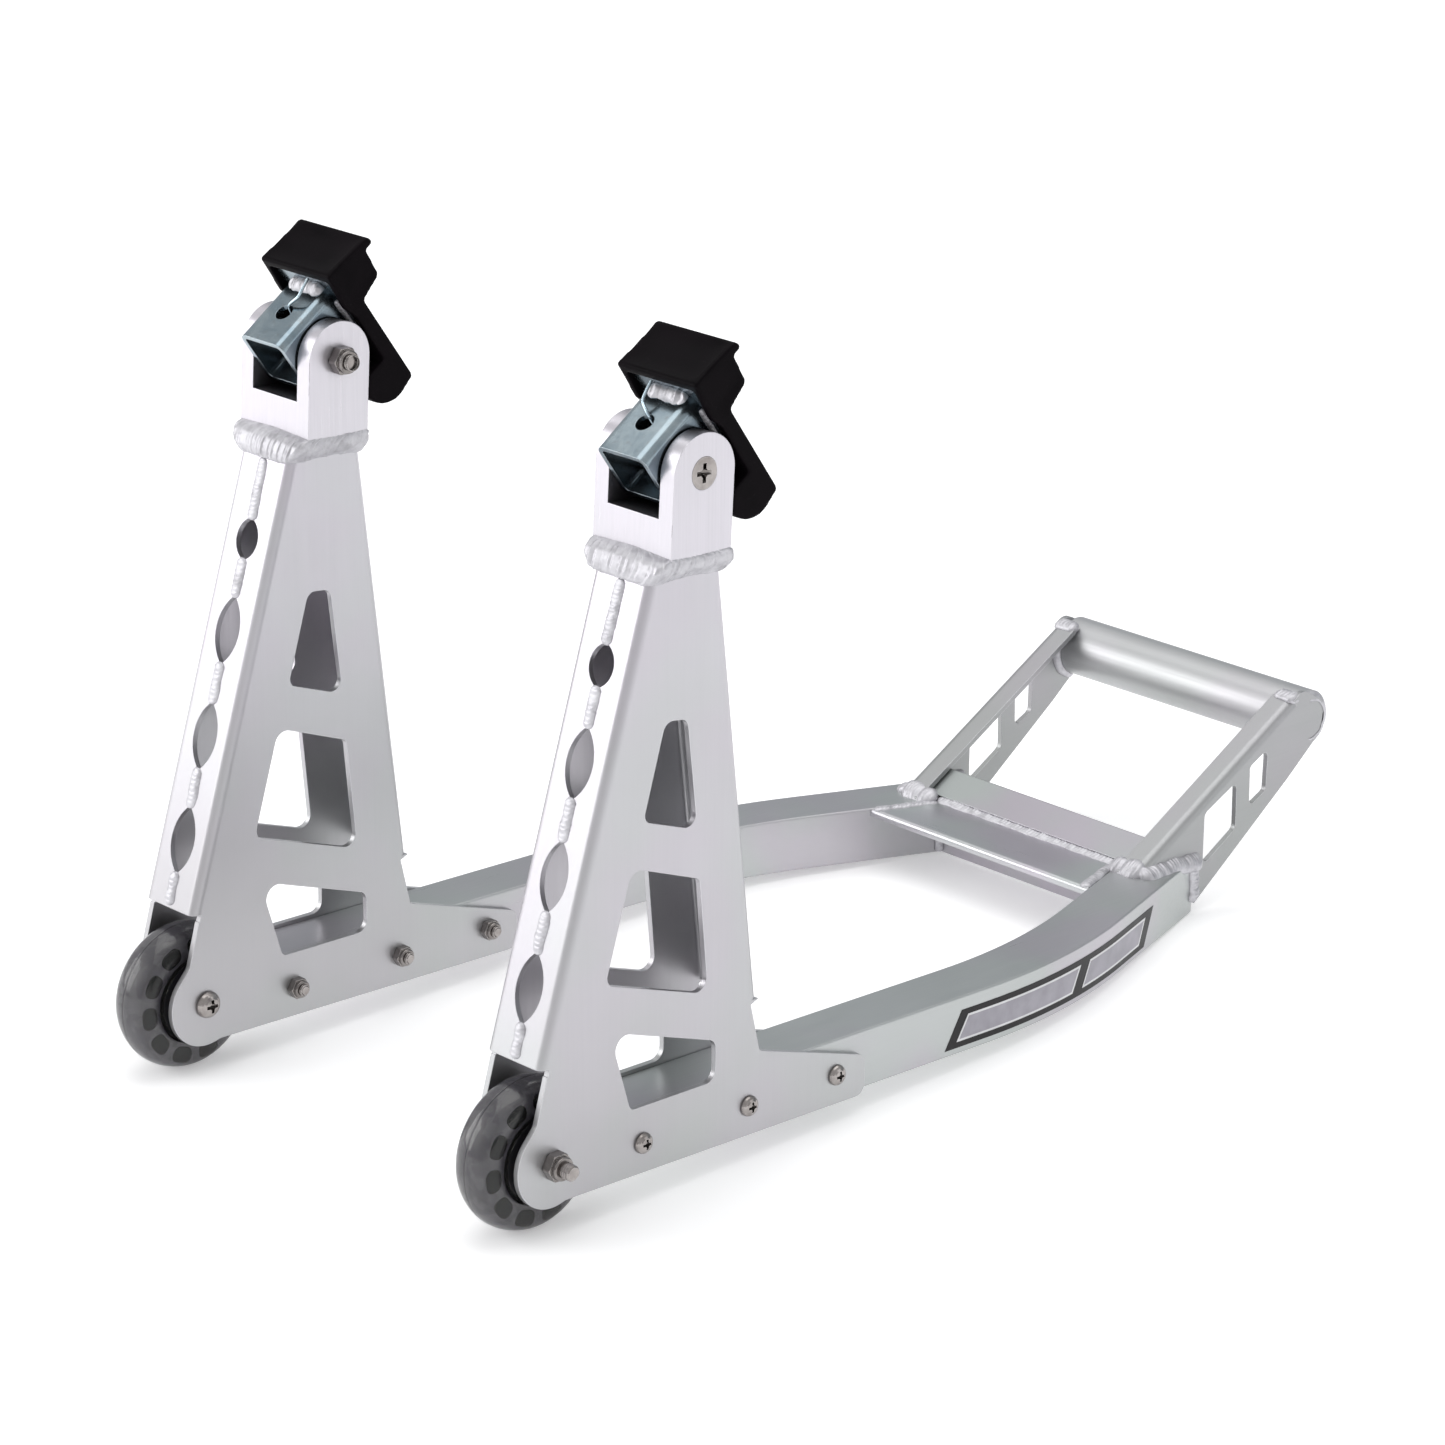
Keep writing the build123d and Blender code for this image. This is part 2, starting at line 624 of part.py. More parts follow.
# ---------------------------------------------------------------- wheels
def tyre():
    half, mid = WHEEL_W / 2, WHEEL_R - TREAD_R
    shoulder = 7.0
    edge_r = mid + (TREAD_R ** 2 - shoulder ** 2) ** 0.5
    section = make_face(Wire([
        Line((-HUB_W / 2, HUB_R), (-half, HUB_R + 3)),
        Line((-half, HUB_R + 3), (-half, edge_r - 6.5)),
        ThreePointArc((-half, edge_r - 6.5), (-half + 1.6, edge_r - 2.6), (-shoulder, edge_r)),
        ThreePointArc((-shoulder, edge_r), (0, WHEEL_R), (shoulder, edge_r)),
        ThreePointArc((shoulder, edge_r), (half - 1.6, edge_r - 2.6), (half, edge_r - 6.5)),
        Line((half, edge_r - 6.5), (half, HUB_R + 3)),
        Line((half, HUB_R + 3), (HUB_W / 2, HUB_R)),
        Line((HUB_W / 2, HUB_R), (-HUB_W / 2, HUB_R)),
    ]))
    ring = revolve(Plane.XY * section, axis=Axis.X, revolution_arc=360)
    return Pos(SIDE_X, 0, WHEEL_R) * ring


def hub():
    """Plastic core with a seat for a bearing on each side."""
    core = bar_x(HUB_R, 0, WHEEL_R, SIDE_X - HUB_W / 2, SIDE_X + HUB_W / 2)
    core -= bar_x(BEARING_R - 1.5, 0, WHEEL_R, SIDE_X - HUB_W, SIDE_X + HUB_W)
    for side in (-1, 1):
        seat_end = SIDE_X + side * (WHEEL_W / 2)
        seat_start = seat_end - side * BEARING_W
        core -= bar_x(BEARING_R, 0, WHEEL_R, min(seat_start, seat_end), max(seat_start, seat_end))
        rim_start = SIDE_X + side * (HUB_W / 2 - 1.2)
        rim_end = SIDE_X + side * HUB_W / 2
        low, high = min(rim_start, rim_end), max(rim_start, rim_end)
        groove = bar_x(17.5, 0, WHEEL_R, low, high) - bar_x(13.5, 0, WHEEL_R, low, high)
        core -= groove
    return core


def bearings():
    rings = []
    for side in (-1, 1):
        end = SIDE_X + side * (WHEEL_W / 2)
        low, high = min(end, end - side * BEARING_W), max(end, end - side * BEARING_W)
        ring = bar_x(BEARING_R, 0, WHEEL_R, low, high)
        ring -= bar_x(AXLE_R + RUN_GAP, 0, WHEEL_R, low, high)
        shield = bar_x(9.4, 0, WHEEL_R, low, high) - bar_x(6.2, 0, WHEEL_R, low, high)
        inner_face = end - side * 0.5
        shield &= bar_x(12, 0, WHEEL_R, min(end, inner_face), max(end, inner_face))
        rings.append(ring - shield)
    return Compound(children=rings)


# ---------------------------------------------------------------- fasteners
def cross(size, depth, x, y, z):
    """Cross recess cut into the head whose outer face is at x, from its +X side."""
    arm = Box(2 * depth, 2 * size, 2 * DRIVE) + Box(2 * depth, 2 * DRIVE, 2 * size)
    return Pos(x, y, z) * arm


def pan_head(radius, height, y, z, x, side):
    """Pan head on the face at x, standing out towards side, with a cross recess."""
    low, high = min(x, x + side * height), max(x, x + side * height)
    head = bar_x(radius, y, z, low, high)
    rim = [e for e in head.edges() if abs(e.center().X - (x + side * height)) < 0.01]
    head = fillet(rim, height * 0.6)
    return head - cross(radius * 0.45, height * 0.45, x + side * height, y, z)


def lock_nut(across, height, radius, y, z, x, side):
    """Nylon-insert lock nut on the face at x: a hexagon with a round collar."""
    hexagon = height * 0.68
    low, high = min(x, x + side * hexagon), max(x, x + side * hexagon)
    nut = hex_x(across, y, z, low, high)
    bevel = bar_x(across * 0.56, y, z, low, high)
    nut &= fillet([e for e in bevel.edges() if e.length > across], 0.7)
    collar_low, collar_high = min(x + side * hexagon, x + side * height), max(x + side * hexagon, x + side * height)
    collar = bar_x(across * 0.46, y, z, collar_low, collar_high)
    outer = [e for e in collar.edges() if abs(e.center().X - (x + side * height)) < 0.01]
    nut += fillet(outer, 1.0)
    return nut - bar_x(radius, y, z, x - 30, x + 30)


def rail_bolt(y):
    shank = bar_x(M6_R, y, bolt_z(y), INNER_X - M6_NUT_H - 2.0, OUTER_X)
    return shank + pan_head(M6_HEAD_R, M6_HEAD_H, y, bolt_z(y), OUTER_X, 1)


def rail_nut(y):
    return lock_nut(M6_AF, M6_NUT_H, M6_R, y, bolt_z(y), INNER_X, -1)


def axle_bolt():
    shank = bar_x(AXLE_R, 0, WHEEL_R, INNER_X, OUTER_X + M8_NUT_H + 6.5)
    tip = [e for e in shank.edges() if e.center().X > OUTER_X]
    shank = fillet(tip, 0.9)
    return shank + pan_head(M8_HEAD_R, M8_HEAD_H, 0, WHEEL_R, INNER_X, -1)


def axle_nut():
    return lock_nut(M8_AF, M8_NUT_H, AXLE_R, 0, WHEEL_R, OUTER_X, 1)


def axle_spacers():
    """Spacers between the plates and the bearings, and the sleeve between the bearings."""
    spans = [
        (INNER_X + SHEET, SIDE_X - WHEEL_W / 2 - SIDE_GAP),
        (SIDE_X - WHEEL_W / 2 + BEARING_W + SIDE_GAP, SIDE_X + WHEEL_W / 2 - BEARING_W - SIDE_GAP),
        (SIDE_X + WHEEL_W / 2 + SIDE_GAP, OUTER_X - SHEET),
    ]
    rings = []
    for low, high in spans:
        rings.append(bar_x(6.0, 0, WHEEL_R, low, high) - bar_x(AXLE_R, 0, WHEEL_R, low, high))
    return Compound(children=rings)


def pivot_bolt():
    shank = bar_x(AXLE_R, 0, 0, EAR_IN_X - M8_NUT_H - 1.0, EAR_OUT_X)
    face = Plane(origin=(EAR_OUT_X, 0, 0), x_dir=(0, 1, 0), z_dir=(-1, 0, 0)) * Circle(CSK_R - 0.05)
    head = extrude(face, amount=CSK_R - 0.05 - AXLE_R, taper=45)
    return clevis_frame(shank + head - cross(3.6, 2.4, EAR_OUT_X, 0, 0))


def pivot_nut():
    return clevis_frame(lock_nut(M8_AF, M8_NUT_H, AXLE_R, 0, 0, EAR_IN_X, -1))


def pivot_sleeve():
    """Sleeve clamped between the ears, on which the holder tube turns."""
    half = CLEVIS_SLOT_W / 2
    sleeve = bar_x(AXLE_R + 2.0, 0, 0, SIDE_X - half, SIDE_X + half)
    return clevis_frame(sleeve - bar_x(AXLE_R, 0, 0, SIDE_X - half, SIDE_X + half))


# ---------------------------------------------------------------- welds of the rear end
def crossbar_welds(solid_parts):
    """Beads along the strip, at the shelf's ends and at the web's ends."""
    inner = ARM_X - FLANGE_W
    top = rail_top(WEB_Y)
    beads = [bead((-62, WEB_Y - 0.5, top + 1.0), (62, WEB_Y - 0.5, top + 1.0), 3.0)]
    for side in (-1, 1):
        beads.append(bead((side * 76.5, SHELF_FRONT_Y + 3, rail_top(SHELF_FRONT_Y)),
                          (side * 64.0, WEB_Y - 4.5, top), 2.4))
        beads.append(bead((side * 64.5, WEB_Y - 0.5, 3.0), (side * 64.5, WEB_Y - 0.5, top - 5.0), 2.2))
    found = []
    for one in beads:
        cut = one
        for other in solid_parts:
            cut -= other
        found += solids(cut)
    return separate(found)


def arm_welds(solid_parts):
    """Beads between an arm, the rail's end and the handle."""
    runs = (
        ((ARM_X - FLANGE_W - 3, 480.5, rail_top(480.5) + 0.8), (ARM_X - 1.0, 480.5, rail_top(480.5) + 0.8), 4.2),
        ((ARM_X + 0.3, 483.0, rail_top(483) + 0.6), (ARM_X + 0.3, 526.5, rail_top(526) + 0.6), 3.4),
        ((ARM_X - 1.0, RAIL_END_Y + 0.5, 7.5), (ARM_X - 1.0, RAIL_END_Y + 0.5, 27.5), 3.0),
        ((ARM_X - FLANGE_W + 1, FLANGE_END_Y + 2.5, arm_top(FLANGE_END_Y) - 1.2),
         (ARM_X - 2.5, FLANGE_END_Y + 2.5, arm_top(FLANGE_END_Y) - 1.2), 3.2),
    )
    found = []
    for start, end, radius in runs:
        cut = bead(start, end, radius)
        for other in solid_parts:
            cut -= other
        found += solids(cut)
    return separate(found)


def separate(beads):
    """Cut each bead back from those before it, so that none overlap."""
    done = []
    for one in beads:
        for earlier in done:
            one = one - earlier
        done += solids(one)
    return Compound(children=done)


# ---------------------------------------------------------------- the assembly
right_rail, right_arm = rail(), handle_arm()
right_block = rail_solid()
pair("rail", right_rail)
pair("outer_upright", upright(OUTER_X - SHEET, OUTER_X, SIDE_X, OUTER_X + 5))
pair("inner_upright", upright(INNER_X, INNER_X + SHEET, INNER_X - 5, SIDE_X))
pair("clevis", clevis())
pair("clevis_weld", clevis_weld())
pair("seam_weld", seam_weld())
pair("handle_arm", right_arm)
keep("crossbar_angle", crossbar_angle())
keep("rear_strip", rear_strip())
keep("handle_tube", handle_tube())
neighbours = both(right_block) + [crossbar_angle(), rear_strip()] + both(right_arm)
keep("crossbar_welds", crossbar_welds(neighbours))
right_side = [right_block, right_arm, rear_strip(), handle_tube(), crossbar_angle()]
right_side.append(bar_x(HANDLE_R, HANDLE_Y, HANDLE_Z, 0, ARM_X - SHEET))
pair("arm_welds", arm_welds(right_side))

group("rail_bolts", [s for y in RAIL_BOLT_Y for s in both(rail_bolt(y))])
group("rail_nuts", [s for y in RAIL_BOLT_Y for s in both(rail_nut(y))])
group("axle_bolts", both(axle_bolt()))
group("axle_nuts", both(axle_nut()))
group("axle_spacers", both(axle_spacers()))
group("pivot_bolts", both(pivot_bolt()))
group("pivot_nuts", both(pivot_nut()))
group("pivot_sleeves", both(pivot_sleeve()))

pair("tyre", tyre())
pair("hub", hub())
pair("bearings", bearings())

pair("pad_boot", boot())
pair("pad_bracket", pad_frame(bracket()))
pair("holder_tube", holder_tube())
pair("holder_weld", holder_weld())
pair("retaining_wire", retaining_wire())

os.makedirs("parts", exist_ok=True)
for node, shape in parts.items():
    shape.label = node
    export_step(shape, "parts/" + node + ".step")
    print(node, len(shape.solids()), round(shape.volume / 1000, 2), "cm3")
print("pivot at", round(PIVOT_Y - MID_Y, 3), round(PIVOT_Z, 3), "axle at", round(-MID_Y, 3), WHEEL_R)
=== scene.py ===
from math import atan2, copysign, cos, pi, radians, sin, sqrt, tan

import bmesh
import bpy
from mathutils import Matrix, Vector, noise


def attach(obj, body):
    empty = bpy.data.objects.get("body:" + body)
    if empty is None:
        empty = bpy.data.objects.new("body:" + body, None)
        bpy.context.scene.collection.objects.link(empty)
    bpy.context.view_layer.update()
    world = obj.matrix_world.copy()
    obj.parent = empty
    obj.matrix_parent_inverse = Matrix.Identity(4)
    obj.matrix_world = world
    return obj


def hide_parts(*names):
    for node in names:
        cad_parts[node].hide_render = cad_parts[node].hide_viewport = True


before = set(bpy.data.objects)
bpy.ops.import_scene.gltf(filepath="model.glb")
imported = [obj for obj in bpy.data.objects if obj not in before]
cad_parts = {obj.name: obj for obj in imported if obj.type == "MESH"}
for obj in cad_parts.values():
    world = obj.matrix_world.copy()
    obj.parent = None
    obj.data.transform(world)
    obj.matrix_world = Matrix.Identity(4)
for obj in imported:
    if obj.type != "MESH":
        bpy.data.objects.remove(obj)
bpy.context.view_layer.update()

# ---------------------------------------------------------------- dimensions, in millimetres
# Shapes are drawn on the +X side, with y counted from the wheel axle, as the CAD part's are.
MID_Y = 298.35                                       # distance of the origin from the axle
SIDE_X = 128.5                                       # middle of an upright, its rail and its wheel
OUTER_X, INNER_X = 148.0, 109.0                      # outer and inner faces of an upright
WHEEL_R, WHEEL_W, HUB_R, HUB_W = 38.0, 24.0, 20.5, 22.4
RAIL_TOP_Z, RAIL_SLOPE = 50.1, radians(2.087)        # the rail's top over the axle, and its fall
RAIL_HALF_W = 16.5
RAIL_BEND_Y, RAIL_BEND_R, RAIL_BEND = 298.0, 380.0, radians(19.5)
RAIL_BOLTS_Y, RAIL_BOLT_DROP = (57.0, 126.8, 187.0), 17.0
FRONT_Y, FRONT_Z, FRONT_LEAN = -7.1, 86.4, radians(17.2)    # a point of the front flange, its lean
PIVOT_Y, PIVOT_Z = 88.433, 356.2
CLEVIS_LEAN, PAD_TILT = radians(3.0), radians(35.0)
HANDLE_Y, HANDLE_Z, HANDLE_R = 618.3, 88.6, 16.4
ARM_IN_X = 85.6                                      # inner face of a handle arm's plate
SEAM_SLOTS = ((266.8, 21.5), (222.5, 35.0), (170.8, 35.0), (119.7, 35.0))    # middle height, length
PAD_HALF_W = 26.0
BEAD_STEP = 0.42                                     # length of bead between two rings of its mesh


# ---------------------------------------------------------------- materials
class Tree:
    """A node tree, with short names for the nodes that the finishes and the sky share."""

    def __init__(self, tree):
        self.tree = tree

    def feed(self, socket, value):
        """Link a node's output to the socket, or set the socket to a plain value."""
        if isinstance(value, bpy.types.NodeSocket):
            self.tree.links.new(value, socket)
        else:
            socket.default_value = value

    def node(self, kind, inputs=(), **settings):
        made = self.tree.nodes.new(kind)
        for key, value in settings.items():
            setattr(made, key, value)
        for key, value in dict(inputs).items():
            self.feed(made.inputs[key], value)
        return made

    def spread(self, value, low, high, start=0.3, end=0.7, **settings):
        """value from start to end, mapped to low to high and held there."""
        made = self.node("ShaderNodeMapRange", {
            "Value": value, "From Min": start, "From Max": end, "To Min": low, "To Max": high,
        }, **settings)
        return made.outputs["Result"]

    def blend(self, factor, first, second):
        """first where the factor is 0, second where it is 1."""
        made = self.node("ShaderNodeMix", {"Factor": factor}, data_type="RGBA")
        for socket, value in ((made.inputs[6], first), (made.inputs[7], second)):
            self.feed(socket, value if isinstance(value, bpy.types.NodeSocket) else (*value, 1.0))
        return made.outputs[2]


class Look(Tree):
    """A material on its principled shader; constants are sockets' names and values."""

    def __init__(self, name, **constants):
        self.material = bpy.data.materials.new(name)
        self.material.use_nodes = True
        super().__init__(self.material.node_tree)
        self.surface = self.tree.nodes["Principled BSDF"]
        self.place = self.node("ShaderNodeTexCoord").outputs["Object"]
        for socket, value in constants.items():
            self.surface.inputs[socket.replace("_", " ")].default_value = value

    def stretched(self, x, y, z):
        """Object coordinates in units of 1/x, 1/y and 1/z metres."""
        return self.node("ShaderNodeMapping", {"Vector": self.place, "Scale": (x, y, z)}).outputs[0]

    def noise(self, scale, detail=3.0, roughness=0.55, vector=None, distortion=0.0):
        made = self.node("ShaderNodeTexNoise", {
            "Vector": vector or self.place, "Scale": scale, "Detail": detail,
            "Roughness": roughness, "Distortion": distortion,
        })
        return made.outputs["Fac"]

    def math(self, operation, a, b=0.0):
        return self.node("ShaderNodeMath", {0: a, 1: b}, operation=operation).outputs[0]

    def along(self, axis):
        """Object coordinate along one axis, in metres."""
        return self.node("ShaderNodeSeparateXYZ", {0: self.place}).outputs[axis]

    def bevel(self, radius):
        """The surface's direction, turned as if its edges were rounded."""
        return self.node("ShaderNodeBevel", {"Radius": radius}, samples=4).outputs[0]

    def edge(self, radius):
        """1 on convex and concave edges within the radius, 0 on open faces."""
        plain = self.node("ShaderNodeNewGeometry").outputs["Normal"]
        both = self.node("ShaderNodeVectorMath", {0: self.bevel(radius), 1: plain}, operation="DOT_PRODUCT")
        return self.spread(both.outputs["Value"], 1.0, 0.0, 0.72, 0.99)

    def hollow(self, distance):
        """1 deep in recesses and corners, 0 in the open; the looks use it to paint shade."""
        made = self.node("ShaderNodeAmbientOcclusion", {"Distance": distance}, samples=6)
        return self.spread(made.outputs["AO"], 1.0, 0.0, 0.15, 0.75)

    def part_of(self, mask, share):
        """A mask made weaker."""
        return self.math("MULTIPLY", mask, share)

    def bump(self, height, strength, distance, under=None):
        inputs = {"Height": height, "Strength": strength, "Distance": distance}
        if under is not None:
            inputs["Normal"] = under
        return self.node("ShaderNodeBump", inputs).outputs[0]

    def finish(self, colour, roughness, normal):
        """Put the three results on the shader."""
        for socket, value in (("Base Color", colour), ("Roughness", roughness), ("Normal", normal)):
            self.feed(self.surface.inputs[socket], value)
        return self.material


def toned(tone, *colour):
    """A colour times a tone of about 1."""
    return tuple(part * tone for part in colour)


def aluminium(name, grain, tone=1.0, rough=0.36, show=0.05, nicks=0.0, tinge=0.12):
    """Satin anodised sheet: drawn grain along one axis, faint lilac and green tints, painted shade by
    height, and worn edges with a painted highlight.

    show is the grain's contrast, nicks the share of dark chips on edges (when it is set, recesses also get
    painted shade), tinge the tints' strength.
    """
    look = Look(name, Metallic=0.85, Specular_IOR_Level=0.5)
    fine_grain, long_marks = [900.0] * 3, [60.0] * 3
    fine_grain["xyz".index(grain)] = 14.0
    long_marks["xyz".index(grain)] = 5.0
    streaks = look.noise(1.0, 4.0, 0.6, look.stretched(*fine_grain))
    clouds = look.noise(7.0, 3.0, 0.5)
    # painted shade: darker near the floor, lighter above, with clouds in both
    painted_height_shade = look.math("ADD", look.spread(look.along("Z"), 0.0, 0.85, 0.05, 0.33),
                       look.spread(clouds, -0.12, 0.25, 0.35, 0.65))
    height_shaded_tint = look.blend(look.spread(painted_height_shade, 0.0, 1.0, 0.0, 1.0),
                      toned(tone, 0.470, 0.472, 0.474), toned(tone, 0.615, 0.590, 0.637))
    drift = look.spread(look.noise(12.0, 2.0, 0.5), 0.0, 1.0, 0.42, 0.58)
    hue = look.blend(drift, toned(tone, 0.53, 0.46, 0.57), toned(tone, 0.46, 0.55, 0.51))
    streaked = look.blend(look.spread(streaks, 0.0, show), look.blend(tinge, height_shaded_tint, hue), (0.50, 0.50, 0.52))
    # painted highlight, with some wear: edges lightened towards near-white
    worn_and_highlit_edges = look.blend(look.part_of(look.edge(0.0007), 0.6), streaked, (0.93, 0.93, 0.96))
    marks = look.spread(look.noise(5.0, 1.0, 0.5, look.stretched(*long_marks)), 0.0, 0.04, 0.74, 0.82)
    colour = look.blend(marks, worn_and_highlit_edges, (0.42, 0.42, 0.43))
    if nicks:
        chips = look.spread(look.noise(75.0, 4.0, 0.65), 0.0, nicks, 0.54, 0.60)
        nicked = look.blend(look.part_of(look.edge(0.0005), chips), colour, (0.045, 0.04, 0.045))
        # painted shade: the slot and other recesses darkened towards black
        colour = look.blend(look.hollow(0.045), nicked, (0.035, 0.034, 0.042))
    worn = look.math("ADD", look.spread(streaks, rough - 0.05, rough + 0.05),
                     look.spread(clouds, -0.03, 0.04))
    drawn = look.bump(streaks, show * 0.4, 0.0002, look.bevel(0.0006))
    return look.finish(colour, worn, look.bump(look.noise(5200.0, 2.0, 0.6), 0.05, 0.0001, drawn))


def weld(name, tone):
    """Cleaned bead: bright crests, grey valleys darkened further with painted shade, and a little soot."""
    look = Look(name, Metallic=0.75, Specular_IOR_Level=0.5)
    patches = look.noise(240.0, 4.0, 0.6)
    soot = look.spread(look.noise(95.0, 3.0, 0.6), 0.0, 0.55, 0.56, 0.72)
    bright = look.blend(look.spread(patches, 0.0, 1.0),
                        toned(tone, 0.56, 0.55, 0.585), toned(tone, 0.76, 0.755, 0.785))
    sooty = look.blend(soot, bright, toned(tone, 0.36, 0.355, 0.375))
    # painted shade: valleys and corners darkened towards dark grey
    colour = look.blend(look.part_of(look.hollow(0.0016), 0.45), sooty, (0.18, 0.175, 0.185))
    normal = look.bump(look.noise(2200.0, 3.0, 0.6), 0.12, 0.0002, look.bump(patches, 0.25, 0.0005))
    return look.finish(colour, look.spread(patches, 0.40, 0.60), normal)


def zinc(name, tone=1.0):
    """Bright zinc plate: blue with paler and slightly yellow clouds, drawn marks along the tube, a painted
    highlight on its edges and painted shade near other parts and in recesses.
    """
    look = Look(name, Metallic=0.95, Specular_IOR_Level=0.5)
    clouds = look.noise(55.0, 4.0, 0.6, None, 0.4)
    plated = look.blend(look.spread(clouds, 0.0, 1.0),
                        toned(tone, 0.215, 0.285, 0.335), toned(tone, 0.38, 0.445, 0.475))
    spots = look.spread(look.noise(310.0, 2.0, 0.5), 0.0, 0.45, 0.60, 0.72)
    worn = look.blend(spots, plated, (0.26, 0.28, 0.29))
    # painted highlight: edges lightened towards pale blue-white
    bright = look.blend(look.part_of(look.edge(0.0006), 0.5), worn, (0.80, 0.86, 0.90))
    # painted shade: recesses and faces near the pad and the clevis darkened towards dark blue
    colour = look.blend(look.hollow(0.026), bright, (0.030, 0.040, 0.055))
    streaks = look.noise(1.0, 3.0, 0.6, look.stretched(1500.0, 60.0, 60.0))
    normal = look.bump(streaks, 0.05, 0.0001, look.bump(clouds, 0.08, 0.0006, look.bevel(0.0005)))
    return look.finish(colour, look.spread(clouds, 0.11, 0.24), normal)


def steel(name, tone=1.0):
    """Stainless fasteners: turned marks, warm tone, a painted highlight on the edges and painted shade in
    the recesses.
    """
    look = Look(name, Metallic=1.0, Specular_IOR_Level=0.5)
    clouds = look.noise(160.0, 3.0, 0.6)
    base = look.blend(look.spread(clouds, 0.0, 1.0),
                      toned(tone, 0.27, 0.245, 0.235), toned(tone, 0.43, 0.40, 0.385))
    # painted highlight: edges lightened towards near-white
    rim = look.blend(look.part_of(look.edge(0.0006), 0.60), base, (0.86, 0.83, 0.81))
    # painted shade: recesses such as the cross darkened towards black
    colour = look.blend(look.hollow(0.0035), rim, (0.020, 0.016, 0.014))
    turned = look.noise(1.0, 2.0, 0.5, look.stretched(2600.0, 300.0, 300.0))
    normal = look.bump(turned, 0.08, 0.0001, look.bevel(0.00025))
    return look.finish(colour, look.spread(clouds, 0.12, 0.24), normal)


def rubber(name):
    """Moulded black rubber: satin skin, fine pebble, chalky rub marks and slightly greyer edges that are a
    painted highlight.
    """
    look = Look(name, Metallic=0.0, Specular_IOR_Level=0.03)
    clouds = look.noise(38.0, 4.0, 0.6, None, 0.6)
    base = look.blend(look.spread(clouds, 0.0, 1.0), (0.0026, 0.0020, 0.0027), (0.0062, 0.0046, 0.0060))
    long_rubs = look.noise(1.0, 3.0, 0.6, look.stretched(70.0, 190.0, 240.0), 0.8)
    dusty = look.blend(look.spread(long_rubs, 0.0, 0.30, 0.66, 0.78), base, (0.022, 0.019, 0.022))
    # painted highlight: edges a little greyer
    colour = look.blend(look.part_of(look.edge(0.0012), 0.30), dusty, (0.030, 0.026, 0.029))
    pebble = look.node("ShaderNodeTexVoronoi", {"Vector": look.place, "Scale": 1500.0}).outputs["Distance"]
    normal = look.bump(clouds, 0.06, 0.0015, look.bump(pebble, 0.06, 0.0002))
    return look.finish(colour, look.spread(clouds, 0.36, 0.56), normal)


def plastic(name):
    """Moulded black plastic with faint clouds and a fine grain."""
    look = Look(name, Metallic=0.0, Specular_IOR_Level=0.5)
    clouds = look.noise(120.0, 3.0, 0.6)
    colour = look.blend(look.spread(clouds, 0.0, 1.0), (0.010, 0.010, 0.012), (0.024, 0.024, 0.028))
    normal = look.bump(look.noise(2400.0, 2.0, 0.5), 0.10, 0.0001, look.bevel(0.0004))
    return look.finish(colour, look.spread(clouds, 0.25, 0.40), normal)


def polyurethane(name):
    """Smoke-tinted clear tyre, with fine scuffs and a dark mould line round its middle."""
    look = Look(name, Metallic=0.0, Specular_IOR_Level=0.35, IOR=1.45, Transmission_Weight=0.99)
    clouds = look.noise(60.0, 3.0, 0.6)
    scuffs = look.noise(1.0, 3.0, 0.6, look.stretched(500.0, 130.0, 130.0))
    base = look.blend(look.spread(clouds, 0.0, 1.0), (0.80, 0.80, 0.69), (0.90, 0.90, 0.80))
    scuffed = look.blend(look.spread(scuffs, 0.0, 0.25, 0.60, 0.75), base, (0.82, 0.82, 0.80))
    from_axis = look.math("ABSOLUTE", look.along("X"))
    off_middle = look.math("ABSOLUTE", look.math("SUBTRACT", from_axis, SIDE_X / 1000))
    mould_line = look.spread(off_middle, 1.0, 0.0, 0.00018, 0.00032)
    colour = look.blend(mould_line, scuffed, (0.06, 0.06, 0.06))
    return look.finish(colour, look.spread(scuffs, 0.04, 0.14, 0.35, 0.75), look.bump(scuffs, 0.05, 0.0002))


def core_look(name, dark, pale, roughness, gloss):
    """Plastic of the wheel's core, clouded between two colours."""
    look = Look(name, Metallic=0.0, Specular_IOR_Level=gloss)
    clouds = look.noise(140.0, 3.0, 0.5)
    colour = look.blend(look.spread(clouds, 0.0, 1.0), dark, pale)
    return look.finish(colour, look.spread(clouds, roughness - 0.05, roughness + 0.08),
                       look.bump(clouds, 0.08, 0.0003))


def sticker(name, dark, pale):
    """Printed film, clouded between two colours, under a thin clear coat."""
    look = Look(name, Metallic=0.0, Specular_IOR_Level=0.2, Coat_Weight=0.04, Coat_Roughness=0.12)
    clouds = look.noise(90.0, 3.0, 0.5)
    colour = look.blend(look.spread(clouds, 0.0, 1.0), dark, pale)
    normal = look.bump(look.noise(900.0, 2.0, 0.5), 0.05, 0.0002)
    return look.finish(colour, look.spread(clouds, 0.30, 0.42), normal)


def pale_floor():
    look = Look("pale_floor", Metallic=0.0, Specular_IOR_Level=0.0, Roughness=0.9,
                Emission_Color=(1.0, 1.0, 1.0, 1.0), Emission_Strength=0.3)
    clouds = look.noise(1.2, 2.0, 0.5)
    colour = look.blend(clouds, (0.93, 0.93, 0.935), (0.95, 0.95, 0.955))
    look.feed(look.surface.inputs["Base Color"], colour)
    return look.material


